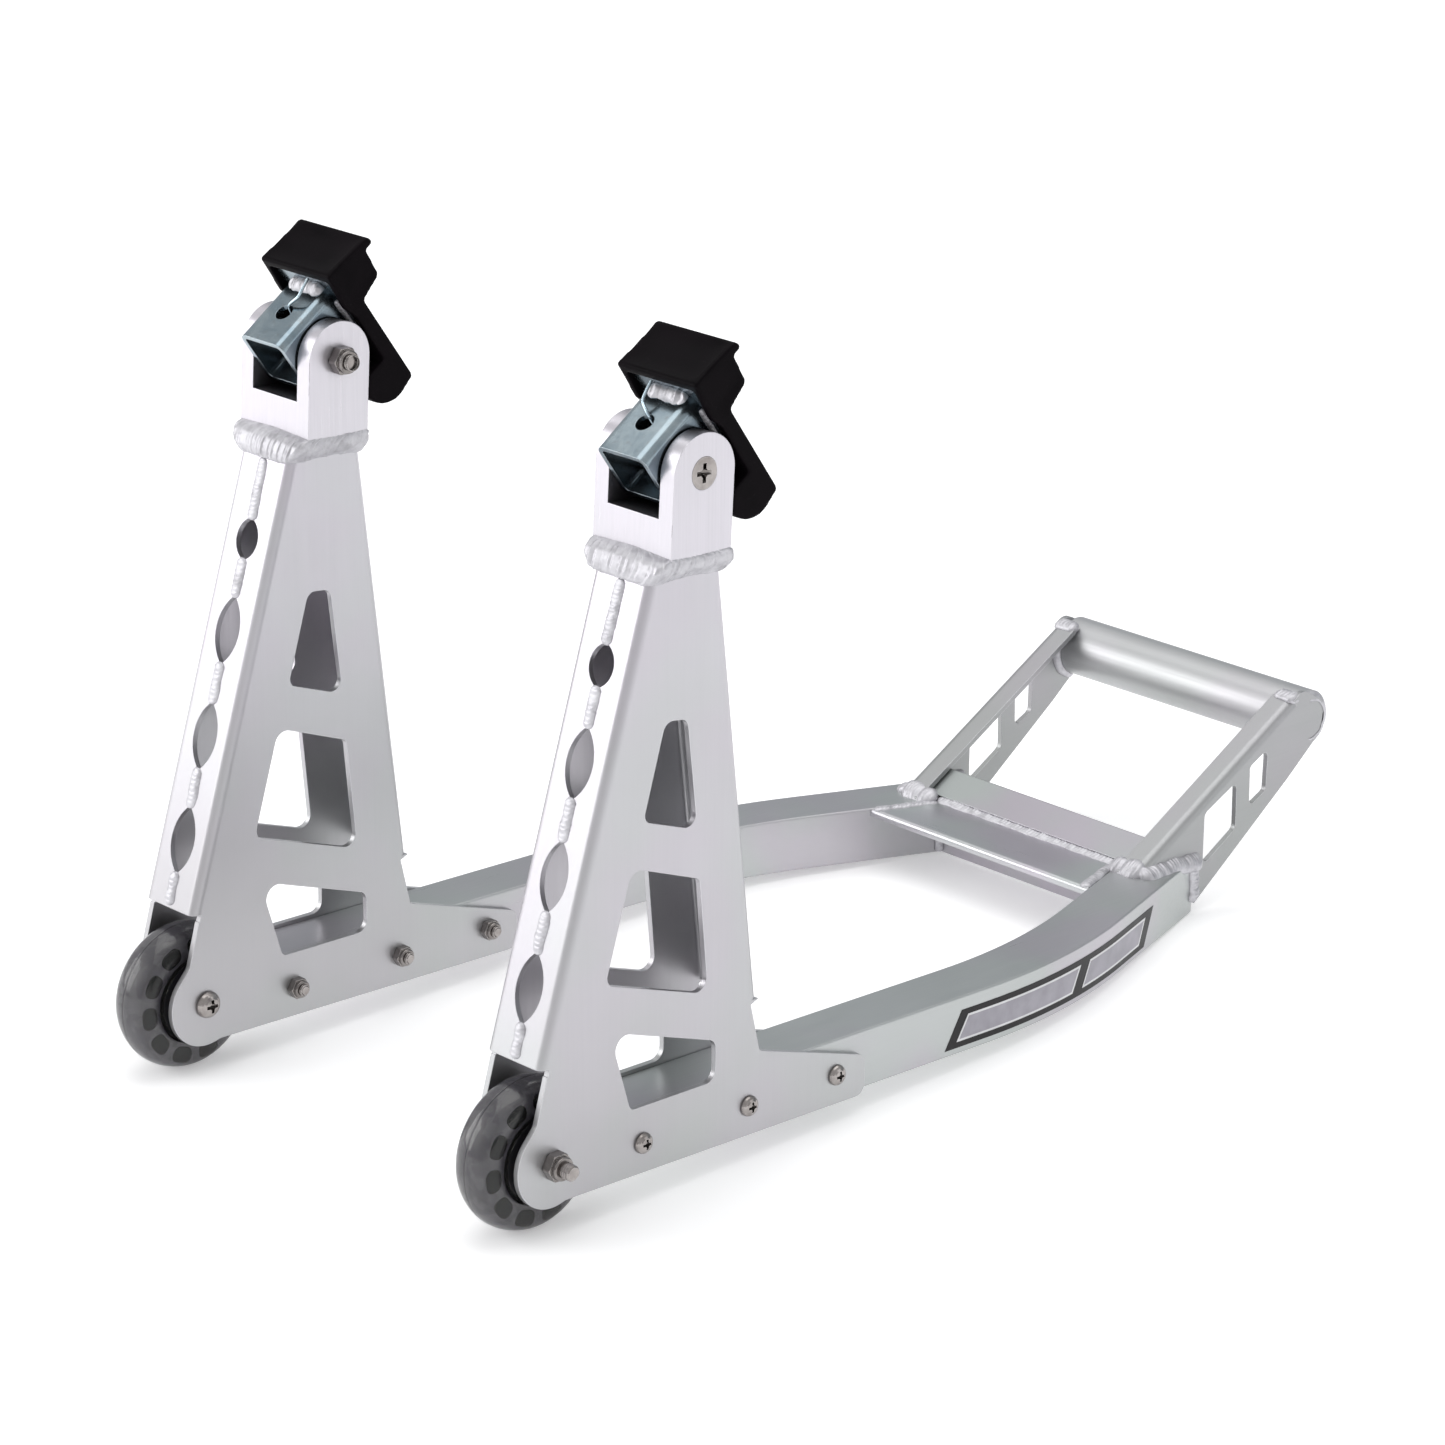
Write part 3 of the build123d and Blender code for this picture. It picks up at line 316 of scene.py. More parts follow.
PLATE = aluminium("anodised_plate_look", "z")
RAIL = aluminium("anodised_rail_look", "y", rough=0.33, tinge=0.25)
CROSS = aluminium("anodised_cross_look", "x", tone=1.10, rough=0.30, show=0.03, tinge=0.35)
TUBE = aluminium("anodised_tube_look", "x", tone=1.02, rough=0.44, show=0.03)
ARM = aluminium("anodised_arm_look", "y", tone=0.78, rough=0.40, show=0.03)
STRIP = aluminium("anodised_strip_look", "x", tone=0.80, rough=0.34, show=0.03, tinge=0.40)
BLOCK = aluminium("brushed_block_look", "z", tone=1.12, rough=0.32, show=0.20, nicks=0.9, tinge=0.03)
WELD = weld("weld_bead_look", 0.88)
WELD_GREY = weld("weld_grey_look", 0.90)
ZINC = zinc("zinc_steel_look")
ZINC_BEAD = zinc("zinc_bead_look", 1.9)
STEEL = steel("fastener_steel_look")
NUT = steel("nut_steel_look", 0.72)
RUBBER = rubber("black_rubber_look")
PLASTIC = plastic("black_plastic_look")
TYRE = polyurethane("smoke_polyurethane_look")
CORE = core_look("tyre_core_look", (0.105, 0.100, 0.140), (0.155, 0.150, 0.195), 0.25, 0.4)
# near black: painted shade for the core's pocket openings, and the colour of its dark rings
POCKET_SHADE_AND_RING = core_look("tyre_pocket_look", (0.002, 0.002, 0.004), (0.006, 0.006, 0.010), 0.20, 0.06)
STRIPE_DARK = sticker("stripe_dark_look", (0.012, 0.011, 0.012), (0.020, 0.019, 0.020))
STRIPE_PALE = sticker("stripe_pale_look", (0.66, 0.66, 0.67), (0.76, 0.76, 0.77))
STRIPE_GREY = sticker("stripe_grey_look", (0.31, 0.30, 0.335), (0.40, 0.385, 0.43))

BY_NODE = {"rail": RAIL, "handle_arm": ARM, "clevis": BLOCK, "crossbar_angle": CROSS, "rear_strip": STRIP,
           "handle_tube": TUBE, "rail_nuts": NUT, "axle_nuts": NUT, "pivot_nuts": NUT}
BY_SLOT = {"anodised_aluminium": PLATE, "weld_bead": WELD, "zinc_steel": ZINC, "fastener_steel": STEEL,
           "black_rubber": RUBBER, "smoke_polyurethane": TYRE, "black_plastic": PLASTIC}
for node_name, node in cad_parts.items():
    plain_name = node_name.replace("right_", "").replace("left_", "")
    for held in node.material_slots:
        held.material = BY_NODE.get(plain_name) or BY_SLOT[held.material.name.split(".")[0]]


# ---------------------------------------------------------------- building pieces
def to_row(point, left):
    """A point drawn in millimetres, in the part's own frame in metres; left mirrors it."""
    x, y, z = point
    return ((-x if left else x) / 1000, (y - MID_Y) / 1000, z / 1000)


def from_pad(point):
    """From the pad's own directions (across, along the tube, up from it), about the pivot."""
    x, a, n = point
    return (SIDE_X + x, PIVOT_Y + a * cos(PAD_TILT) - n * sin(PAD_TILT),
            PIVOT_Z + a * sin(PAD_TILT) + n * cos(PAD_TILT))


def from_clevis(point):
    """From the clevis's own directions (across, back, up), about the pivot."""
    x, d, rise = point
    return (SIDE_X + x, PIVOT_Y + d * cos(CLEVIS_LEAN) + rise * sin(CLEVIS_LEAN),
            PIVOT_Z - d * sin(CLEVIS_LEAN) + rise * cos(CLEVIS_LEAN))


def rail_top(y):
    return RAIL_TOP_Z - tan(RAIL_SLOPE) * y


def circle(x, radius, count):
    """Points round a circle about the X axis."""
    return [(x, radius * cos(2 * pi * k / count), radius * sin(2 * pi * k / count)) for k in range(count)]


class Form:
    """Vertices and faces being gathered for one piece; kinds are the faces' places among its looks."""

    def __init__(self, smooth=True):
        self.verts, self.faces, self.kinds, self.smooth = [], [], [], smooth

    def add(self, points, faces):
        """Add points, and faces that count those points from 0."""
        base = len(self.verts)
        self.verts += points
        self.faces += [tuple(base + k for k in face) for face in faces]
        self.kinds += [0] * len(faces)

    def rings(self, loops, joined=False, kind=0):
        """Skin a row of closed loops of equal length; joined closes the row on itself, else it has ends."""
        base, size, count = len(self.verts), len(loops[0]), len(loops)
        for loop in loops:
            self.verts += [tuple(p) for p in loop]
        for i in range(count if joined else count - 1):
            for j in range(size):
                here, there = base + i * size, base + (i + 1) % count * size
                self.faces.append((here + j, here + (j + 1) % size, there + (j + 1) % size, there + j))
        if not joined:
            self.faces.append(tuple(base + j for j in reversed(range(size))))
            self.faces.append(tuple(base + (count - 1) * size + j for j in range(size)))
        self.kinds += [kind] * (len(self.faces) - len(self.kinds))


def placed(name, data):
    """A new object that holds the data, in the scene."""
    made = bpy.data.objects.new(name, data)
    bpy.context.scene.collection.objects.link(made)
    return made


def shell(name, points, faces):
    """A mesh with its faces turned outwards."""
    mesh = bpy.data.meshes.new(name)
    mesh.from_pydata(points, [], faces)
    made = bmesh.new()
    made.from_mesh(mesh)
    bmesh.ops.recalc_face_normals(made, faces=made.faces)
    made.to_mesh(mesh)
    made.free()
    return mesh


def worked_out(item):
    """Points and faces of an object with its modifiers or its curve's thickness applied."""
    graph = bpy.context.evaluated_depsgraph_get()
    mesh = bpy.data.meshes.new_from_object(item.evaluated_get(graph))
    return [tuple(v.co) for v in mesh.vertices], [tuple(f.vertices) for f in mesh.polygons]


def cut_away(block, cutter):
    cut = block.modifiers.new(cutter.name, "BOOLEAN")
    cut.operation, cut.object, cut.solver = "DIFFERENCE", cutter, "EXACT"


def piece(name, form, looks, body, replaced=(), left=False, place=None):
    """Make the object, put it on its body and hide the CAD parts that it stands for."""
    points = [to_row(place(p) if place else p, left) for p in form.verts]
    mesh = shell(name, points, form.faces)
    for look in looks:
        mesh.materials.append(look)
    mesh.polygons.foreach_set("material_index", form.kinds)
    mesh.polygons.foreach_set("use_smooth", [form.smooth] * len(mesh.polygons))
    mesh.update()
    made = placed(name, mesh)
    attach(made, body)
    if replaced:
        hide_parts(*replaced)
    return made


def rounded(corners, steps=6):
    """Closed outline from corners (a, n, radius), with each corner rounded."""
    out = []
    for i, (a, n, radius) in enumerate(corners):
        here = Vector((a, n))
        if not radius:
            out.append(here)
            continue
        before = (Vector(corners[i - 1][:2]) - here).normalized()
        after = (Vector(corners[(i + 1) % len(corners)][:2]) - here).normalized()
        half = before.angle(after) / 2
        cut = radius / tan(half)
        centre = here + (before + after).normalized() * radius / sin(half)
        first, last = here + before * cut - centre, here + after * cut - centre
        turn = first.angle_signed(last)
        out += [centre + Matrix.Rotation(-turn * k / steps, 2) @ first for k in range(steps + 1)]
    return out


# ---------------------------------------------------------------- weld beads
def wander(s, seed, rate=0.2):
    """A smooth random value near 0, that changes along a length s in millimetres."""
    return noise.noise(Vector((s * rate + seed * 13.7, seed * 3.1, 0.4)))


def ripple_height(phase):
    """Height across one ripple of a bead: a quick rise and a long fall, as coins that overlap."""
    part = phase % 1.0
    return min(1.0, part * 4.0) * (1.0 - 0.72 * part)


def taper(distance, half):
    """Size of a bead near its end: from 0.2 at the end to 1 at half a width from it."""
    return sqrt(max(0.04, 1 - (1 - min(1.0, (distance + 0.2) / half)) ** 2))


def bead(form, points, up, half, height, pitch=2.3, seed=0, sink=1.2, curve=0.75, depth=0.36):
    """Weld bead along straight runs between points, with ripples like overlapping coins.

    half is half its width, pitch a ripple's length, sink how far it reaches below the points,
    curve how far a ripple bends back at the sides, depth the share of the height that ripples.
    """
    points = [Vector(p) for p in points]
    spans = [(b - a).length for a, b in zip(points, points[1:])]
    total = sum(spans)
    count = max(8, int(total / BEAD_STEP))
    up = Vector(up).normalized()
    loops = []
    for i in range(count + 1):
        s = total * i / count
        left_over, k = s, 0
        while k < len(spans) - 1 and left_over > spans[k]:
            left_over -= spans[k]
            k += 1
        along = (points[k + 1] - points[k]).normalized()
        centre = points[k] + along * left_over
        side = along.cross(up).normalized()
        rise = side.cross(along)
        swell = taper(min(s, total - s), half)
        width = half * (1 + 0.16 * wander(s, seed)) * swell
        shift = half * 0.22 * wander(s, seed + 5, 0.13)
        crown = height * (1 + 0.35 * wander(s, seed + 9, 0.25)) * swell
        loop = []
        for j in range(13):
            v = j / 6 - 1
            ripple = ripple_height(s / pitch + curve * v * v + 0.25 * wander(s, seed + 2, 0.5))
            high = crown * (1 - abs(v) ** 2.4) ** 0.7 * (1 - depth * (0.8 - ripple))
            out = width * v * (1 + 0.07 * ripple * abs(v)) + shift
            loop.append(centre + side * out + rise * high)
        for edge in (0.9, -0.9):
            loop.append(centre + side * (width * edge + shift) - rise * sink)
        loops.append(loop)
    form.rings(loops)


def turned_bead(form, start, end, section, root, count, reach, half, height, curve, seed):
    """Bead about the handle's axis, between two angles in degrees, reach away from that axis.

    section gives x and radius from v, which runs from -1 to 1 across the bead, from the length s so
    far, and from the bead's swell and heap there; root is x and radius of its lowest point.
    """
    def at(x, radius):
        return Vector((x, HANDLE_Y, HANDLE_Z)) + outward * radius

    loops = []
    length = radians(end - start) * reach
    for i in range(count + 1):
        t = i / count
        angle, s = radians(start + (end - start) * t), length * t
        swell = taper(min(t, 1 - t) * length, half)
        outward = Vector((0, cos(angle), sin(angle)))
        loop = []
        for j in range(11):
            v = j / 5 - 1
            ripple = ripple_height(s / 2.5 + curve * v * v + 0.3 * wander(s, seed, 0.5))
            heap = height * swell * (1 - v * v) * (0.7 + 0.35 * ripple)
            loop.append(at(*section(v, s, swell, heap)))
        loops.append([*loop, at(*root)])
    form.rings(loops)


# ---------------------------------------------------------------- pads
def boot_outline():
    """Side view of the rubber pad: lipped block, leg, heel and the toe that rests on the clevis."""
    centre_a, centre_n, radius = 17.8, -27.1, 16.3
    start, end = atan2(-29.2 - centre_n, 1.67 - centre_a), radians(-90)
    toe = []
    for k in range(13):
        angle = start + (end - start) * k / 12
        toe.append((centre_a + radius * cos(angle), centre_n + radius * sin(angle), 0))
    return rounded([
        (18.9, 38.3, 1.2), (17.9, 16.6, 1.5), (20.4, 9.0, 2.0), (20.4, -21.0, 1.2), (8.3, -21.0, 1.2),
        *toe, (28.7, -41.0, 1.5), (28.7, 12.4, 1.5), (43.4, 15.8, 3.0), (44.7, 31.7, 1.0), (49.7, 31.4, 2.0),
        (50.0, 36.3, 2.6),
    ])


def prism(name, outline, half):
    """Closed block across the pad, as an object in millimetres."""
    mesh = bpy.data.meshes.new(name)
    made = bmesh.new()
    face = made.faces.new([made.verts.new((-half, p[0], p[1])) for p in outline])
    moved = bmesh.ops.extrude_face_region(made, geom=[face])["geom"]
    far_side = [item for item in moved if isinstance(item, bmesh.types.BMVert)]
    bmesh.ops.translate(made, vec=(2 * half, 0, 0), verts=far_side)
    bmesh.ops.recalc_face_normals(made, faces=made.faces)
    made.to_mesh(mesh)
    made.free()
    return placed(name, mesh)


def boot_form():
    """The pad as one moulding: soft edges, a dished top, drawn-in ends and a mouth for the bracket."""
    block = prism("boot_blank", boot_outline(), PAD_HALF_W)
    mouth = prism("boot_mouth", [(10, 34.3), (10, -10), (22.6, -10), (22.6, 33.1)], 22.0)
    cut_away(block, mouth)
    skin = block.modifiers.new("skin", "REMESH")
    skin.mode, skin.voxel_size, skin.adaptivity = "VOXEL", 0.7, 0.0
    soften = block.modifiers.new("soften", "SMOOTH")
    soften.factor, soften.iterations = 0.5, 11
    points, faces = worked_out(block)
    moved = []
    for x, a, n in points:
        if n > 12 and a > 22 and abs(x) > 23:    # the block's ends, drawn in a little
            belly = (1 - min(1.0, abs(a - 34) / 14) ** 2) * min(1.0, (n - 12) / 8)
            x -= 0.55 * belly * x / PAD_HALF_W
        if n > 34.5:                             # the top, dished between its lips
            across, along = max(0.0, 1 - (x / 23.5) ** 4), max(0.0, 1 - ((a - 34.5) / 13.5) ** 4)
            n -= 1.6 * across * along * min(1.0, (n - 34.5) / 1.5)
        if a > 28.0 and n < 11:                  # the leg's outer face, slightly crowned
            a += 0.35 * (1 - (x / PAD_HALF_W) ** 2) * min(1.0, (11 - n) / 10)
        moved.append((x, a, n))
    form = Form()
    form.add(moved, faces)
    for item in (block, mouth):
        bpy.data.objects.remove(item)
    return form


def wire_form():
    """Loose wire: out of the tube's hole, up and under the pad's lip."""
    line = bpy.data.curves.new("wire_line", "CURVE")
    line.dimensions = "3D"
    line.bevel_depth, line.bevel_resolution, line.use_fill_caps = 0.8, 3, True
    points = ((0.5, 4.6, 20.5), (0.2, 4.7, 23.0), (-0.4, 5.2, 25.6), (-3.2, 7.2, 27.4), (-6.0, 9.3, 28.6),
              (-6.3, 13.5, 30.4), (-6.4, 19.2, 32.2))
    run = line.splines.new("NURBS")
    run.points.add(len(points) - 1)
    for held, at in zip(run.points, points):
        held.co = (*at, 1.0)
    run.order_u, run.use_endpoint_u = 3, True
    drawn = placed("wire_line", line)
    form = Form()
    form.add(*worked_out(drawn))
    bpy.data.objects.remove(drawn)
    return form


def holder_bead_form():
    """Heaped bead between the tube's top and the bracket, and small ones below and at the sides."""
    form = Form()
    bead(form, [(-12.0, 19.2, 24.4), (12.0, 19.2, 24.4)], (0, -0.5, 1), 4.6, 3.4,
         pitch=4.4, seed=3, sink=2.0, curve=0.5)
    bead(form, [(-11.0, 20.9, -7.6), (11.0, 20.9, -7.6)], (0, -0.6, -1), 2.0, 1.3, pitch=2.2, seed=4)
    for k, side in enumerate((-1, 1)):
        bead(form, [(side * 16.1, 20.7, 18.0), (side * 16.1, 20.7, -2.0)], (side, -0.6, 0), 1.9, 1.3,
             pitch=2.2, seed=6 + k)
    return form


# ---------------------------------------------------------------- uprights
def rounded_box(width, front, back, radius, count):
    """Plan outline in the clevis's own directions, walked at even steps from its front middle."""
    half = width / 2
    box = [(half, front, radius), (half, back, radius), (-half, back, radius), (-half, front, radius)]
    loop = [Vector((0.0, front))] + rounded(box, 8)
    lengths = [(loop[(i + 1) % len(loop)] - p).length for i, p in enumerate(loop)]
    total, out = sum(lengths), []
    for i in range(count):
        s, k = total * i / count, 0
        while s > lengths[k]:
            s -= lengths[k]
            k += 1
        out.append(loop[k].lerp(loop[(k + 1) % len(loop)], s / lengths[k]))
    return out


def collar_form():
    """Bead round the foot of the clevis, with overlapping ripples and an uneven lower edge."""
    # rise above the pivot, width, front, back, corner
    levels = ((-36.6, 51.4, -18.8, 18.8, 0.9), (-37.2, 52.2, -19.6, 19.2, 1.2),
              (-38.6, 52.8, -22.0, 20.6, 2.2), (-41.2, 52.8, -24.6, 21.6, 3.2),
              (-44.2, 51.6, -26.0, 22.4, 3.8), (-47.2, 46.8, -26.9, 23.3, 4.2),
              (-49.8, 42.0, -27.1, 23.3, 4.4), (-51.2, 39.4, -26.4, 22.8, 4.4),
              (-51.8, 37.8, -24.5, 21.6, 4.4))
    middle_rise = levels[len(levels) // 2][0]
    count, steps, girth, pitch = 340, 30, 185.0, 4.2
    outlines = [rounded_box(*level[1:], count) for level in levels]
    loops = []
    for j in range(steps + 1):
        t = j / steps * (len(levels) - 1)
        k = min(int(t), len(levels) - 2)
        part = t - k
        v = j / steps * 2 - 1                    # from the bead's upper edge to its lower one
        body = max(0.0, 1 - abs(v) ** 3)
        loop = []
        for i in range(count):
            turn = i / count * 2 * pi
            flat = outlines[k][i].lerp(outlines[k + 1][i], part)
            away = Vector((flat.x / 26, (flat.y + 2) / 23)).normalized()
            rise = levels[k][0] + (levels[k + 1][0] - levels[k][0]) * part
            rise += (middle_rise - rise) * 0.20 * away.x ** 2    # slimmer at the sides
            lump = noise.noise(Vector((cos(turn) * 3.2, sin(turn) * 3.2, 2.0)))
            wave = noise.noise(Vector((cos(turn) * 5, sin(turn) * 5, 0.5)))
            phase = i / count * girth / pitch + 1.05 * v * v + 0.9 * wave
            ripple = ripple_height(phase) * (0.55 + 0.9 * abs(lump))
            out = body * (2.0 * ripple - 0.5 + 1.0 * lump)
            hang = max(0.0, v) ** 2 * (1.5 * lump - 0.9 * ripple * (1 - abs(v)) - 0.35 * ripple)
            loop.append((flat.x + away.x * out, flat.y + away.y * out, rise + hang))
        loops.append(loop)
    form = Form()
    form.rings(loops)
    return form


def seam_form():
    """Ground beads that close the front seam between its lens-shaped openings."""
    form = Form()
    out = Vector((0, -cos(FRONT_LEAN), sin(FRONT_LEAN)))
    top, foot, overlap = 306.0, 87.6, 1.2
    runs = []
    for middle, length in SEAM_SLOTS:
        half = length / 2 * cos(FRONT_LEAN)
        runs.append((top, middle + half - overlap))
        top = middle - half + overlap
    runs.append((top, foot))
    for k, run in enumerate(runs):
        ends = [(SIDE_X, FRONT_Y + (z - FRONT_Z) * tan(FRONT_LEAN), z) for z in run]
        bead(form, ends, out, 3.3, 1.7, pitch=2.5 if k else 2.1, seed=20 + k, sink=1.3, curve=0.6)
    return form


# ---------------------------------------------------------------- wheels
def lathe(form, profile, segments=120, kind=0):
    """Turn a closed profile of (x from the wheel's middle, radius) about the axle."""
    loops = []
    for i in range(segments):
        angle = 2 * pi * i / segments
        loops.append([(SIDE_X + x, r * cos(angle), WHEEL_R + r * sin(angle)) for x, r in profile])
    form.rings(loops, joined=True, kind=kind)


def tyre_form():
    """Clear tyre: rounded tread with a sunk mould line, shoulders and a stepped side wall."""
    round_r, tread_half, line_depth = 16.0, 7.0, 0.35
    middle = WHEEL_R - round_r
    tread = []
    for k in range(-14, 15):
        x = k / 14 * tread_half
        r = middle + sqrt(round_r ** 2 - x * x)
        tread.append((x, r if k else r - line_depth))
    edge, half = middle + sqrt(round_r ** 2 - tread_half ** 2), WHEEL_W / 2
    shoulder = [(7.9, edge - 0.45), (8.9, edge - 1.1), (9.8, edge - 1.9), (10.6, edge - 2.9),
                (11.2, edge - 4.1), (11.6, edge - 5.3), (11.75, edge - 6.6)]
    side = [(half - 0.02, 28.6), (half, 27.6), (half, 25.0), (11.9, 23.6), (HUB_W / 2 + 0.1, 21.4),
            (HUB_W / 2, HUB_R + 0.05)]
    right = shoulder + side
    left = [(-x, r) for x, r in reversed(right)]
    form = Form()
    lathe(form, tread + right + left)
    return form


def core_form():
    """Ring of the core that shows through the tyre, with dark rings and dark oval pockets on both faces; the
    pockets' near black is painted shade for the core's openings.
    """
    pockets, first, pocket_r, pocket_long, pocket_high = 11, 152.1, 29.0, 5.9, 4.3
    face = 9.75
    form = Form()
    lathe(form, [(-10.2, 20.7), (10.2, 20.7), (10.2, 24.4), (9.9, 33.8), (9.0, 35.0), (-9.0, 35.0),
                 (-9.9, 33.8), (-10.2, 24.4)], 96)
    for side in (-1, 1):
        ring = ((9.9, 20.75), (10.9, 20.75), (10.9, 23.0), (9.9, 23.2))
        lathe(form, [(side * x, r) for x, r in ring], 96, 1)
    for side in (-1, 1):
        for k in range(pockets):
            middle = radians(first + k * 360 / pockets)
            rows = []
            for proud, shrink in ((-0.5, 0.98), (0.35, 1.0), (0.60, 0.93), (0.70, 0.8), (0.72, 0.4)):
                loop = []
                for _, c, s in circle(0, 1, 28):
                    u = copysign(abs(c) ** 0.62, c) * pocket_long * shrink
                    w = copysign(abs(s) ** 0.8, s) * pocket_high * shrink
                    angle, r = middle + u / pocket_r, pocket_r + w
                    loop.append((SIDE_X + side * (face + proud), r * cos(angle), WHEEL_R + r * sin(angle)))
                rows.append(loop)
            # kind 1 is the near-black look: painted shade where the core's openings are
            form.rings(rows, kind=1)
    return form


# ---------------------------------------------------------------- bolts
def clevis_point(point):
    """From the part's own x and the clevis's directions back and up."""
    x, y, z = point
    return from_clevis((x - SIDE_X, y, z))


def thread(form, x_start, x_end, y, z, radius, pitch, place=None):
    """Raised helix on the end of a bolt along X."""
    turns = abs(x_end - x_start) / pitch
    count = max(12, int(turns * 26))
    foot = radius - 0.25
    loops = []
    for i in range(count + 1):
        t = i / count
        x, angle = x_start + (x_end - x_start) * t, 2 * pi * turns * t
        crest = radius + 0.24 * pitch * min(1.0, 6 * t, 6 * (1 - t))
        loop = []
        for dx, r in ((-0.46, foot), (-0.10, crest), (0.10, crest), (0.46, foot)):
            at = (x + dx * pitch, y + r * cos(angle), z + r * sin(angle))
            loop.append(place(at) if place else at)
        loops.append(loop)
    form.rings(loops)


def threads_form():
    """Threads where the bolts stand out of their nuts: M8 on the axle and pivot, M6 on the rail."""
    form = Form()
    thread(form, 156.6, 161.6, 0, WHEEL_R, 3.75, 1.25)
    thread(form, 94.4, 91.6, 0, 0, 3.75, 1.25, clevis_point)
    for y in RAIL_BOLTS_Y:
        thread(form, 102.9, 101.2, y, rail_top(y) - RAIL_BOLT_DROP, 2.85, 1.0)
    return form


def cross_cutter(depth, half, width, face):
    """Two tapered slots that cross, and a round middle, cut down from the face at x."""
    cutters = []
    for turned in (False, True):
        rings = []
        for x, k in ((face + 0.3, 1.0), (face - depth * 0.55, 0.72), (face - depth, 0.25)):
            a, b = half * k, width * (0.55 + 0.45 * k)
            loop = [(a, b), (-a, b), (-a, -b), (a, -b)]
            rings.append([(x, q, p) if turned else (x, p, q) for p, q in loop])
        cutters.append(rings)
    steps = ((face + 0.3, 0.50), (face - depth * 0.5, 0.36), (face - depth * 0.9, 0.12))
    cutters.append([circle(x, half * share, 24) for x, share in steps])
    return cutters


def from_rings(name, rings):
    """A closed object skinned over rings, in millimetres."""
    form = Form()
    form.rings(rings)
    return placed(name, shell(name, form.verts, form.faces))


def screw_head(profile, depth, half, width):
    """Turned head with a cross recess, along +X from its seat at x = 0; profile is (x, radius)."""
    block = from_rings("head_blank", [circle(x, r, 56) for x, r in profile])
    recess = cross_cutter(depth, half, width, profile[-1][0])
    cutters = [from_rings(f"cross_{k}", rings) for k, rings in enumerate(recess)]
    for cutter in cutters:
        cut_away(block, cutter)
    head = worked_out(block)
    for item in (block, *cutters):
        bpy.data.objects.remove(item)
    return head


def add_screw(form, head, x, y, z, side, shank, length, place=None, top=0.2):
    """Put a head at x, y, z facing side along X, with its shank from top down to its length."""
    def at(p):
        q = (x + side * p[0], y + side * p[1], z + p[2])
        return place(q) if place else q

    form.add([at(p) for p in head[0]], head[1])
    profile = ((top, shank - 0.6), (top - 0.5, shank), (-length + 0.8, shank), (-length, shank - 0.8))
    form.rings([[at(p) for p in circle(depth, r, 40)] for depth, r in profile])


def screws_form():
    """Rail bolts, axle bolt and countersunk pivot bolt of one side, as three forms."""
    pan = screw_head([(0, 5.1), (0.25, 5.3), (1.0, 5.25), (1.9, 4.85), (2.7, 4.1), (3.25, 3.1), (3.55, 1.8),
                      (3.6, 0.6)], 2.3, 3.0, 0.72)
    big_pan = screw_head([(0, 6.8), (0.3, 7.0), (1.4, 6.9), (2.7, 6.3), (3.8, 5.3), (4.6, 3.9), (4.95, 2.3),
                          (5.0, 0.7)], 3.0, 3.9, 0.95)
    sunk = screw_head([(-4.0, 3.95), (-0.5, 7.45), (-0.15, 7.8), (0.0, 7.75)], 3.2, 4.9, 1.15)
    rail, axle, pivot = (Form(smooth=False) for _ in range(3))
    for y in RAIL_BOLTS_Y:
        add_screw(rail, pan, OUTER_X, y, rail_top(y) - RAIL_BOLT_DROP, 1, 2.95, 47.0)
    add_screw(axle, big_pan, INNER_X, 0, WHEEL_R, -1, 3.9, 53.4)
    add_screw(pivot, sunk, 154.5, 0, 0, 1, 3.9, 61.0, clevis_point, -3.6)
    return rail, axle, pivot


# ---------------------------------------------------------------- rear end
def rail_outside(s, drop, proud):
    """Point on the rail's outer side, s along it and drop below its top, standing proud of it."""
    turn = min(max(0.0, s - RAIL_BEND_Y) / RAIL_BEND_R, RAIL_BEND)
    past_bend = max(0.0, s - RAIL_BEND_Y - RAIL_BEND_R * RAIL_BEND)
    reach = RAIL_BEND_R + proud
    x = SIDE_X + RAIL_HALF_W - RAIL_BEND_R + reach * cos(turn) - past_bend * sin(turn)
    y = min(s, RAIL_BEND_Y) + reach * sin(turn) + past_bend * cos(turn)
    return (x, y * cos(RAIL_SLOPE), RAIL_TOP_Z - drop - y * sin(RAIL_SLOPE))


def band(form, first, last, high, low, slant, proud, kind=0):
    """Thin strip stuck on the rail's outer side, with slanted ends."""
    count, sunk = 60, -0.05
    loops = []
    for i in range(count + 1):
        s = first + (last - first) * i / count
        loops.append([rail_outside(s + slant, high, proud), rail_outside(s, low, proud),
                      rail_outside(s, low, sunk), rail_outside(s + slant, high, sunk)])
    form.rings(loops, kind=kind)


def stripe_form():
    """Plain two-tone stripe, with no lettering."""
    form = Form(smooth=False)
    band(form, 268.0, 462.0, 7.4, 27.4, 12.0, 0.10)
    for first, last in ((276.5, 372.0), (382.0, 454.5)):
        band(form, first, last, 10.6, 24.2, 8.2, 0.16, 1)
        band(form, first + 2.0, last - 1.0, 11.8, 23.0, 6.8, 0.22, 2)
    return form


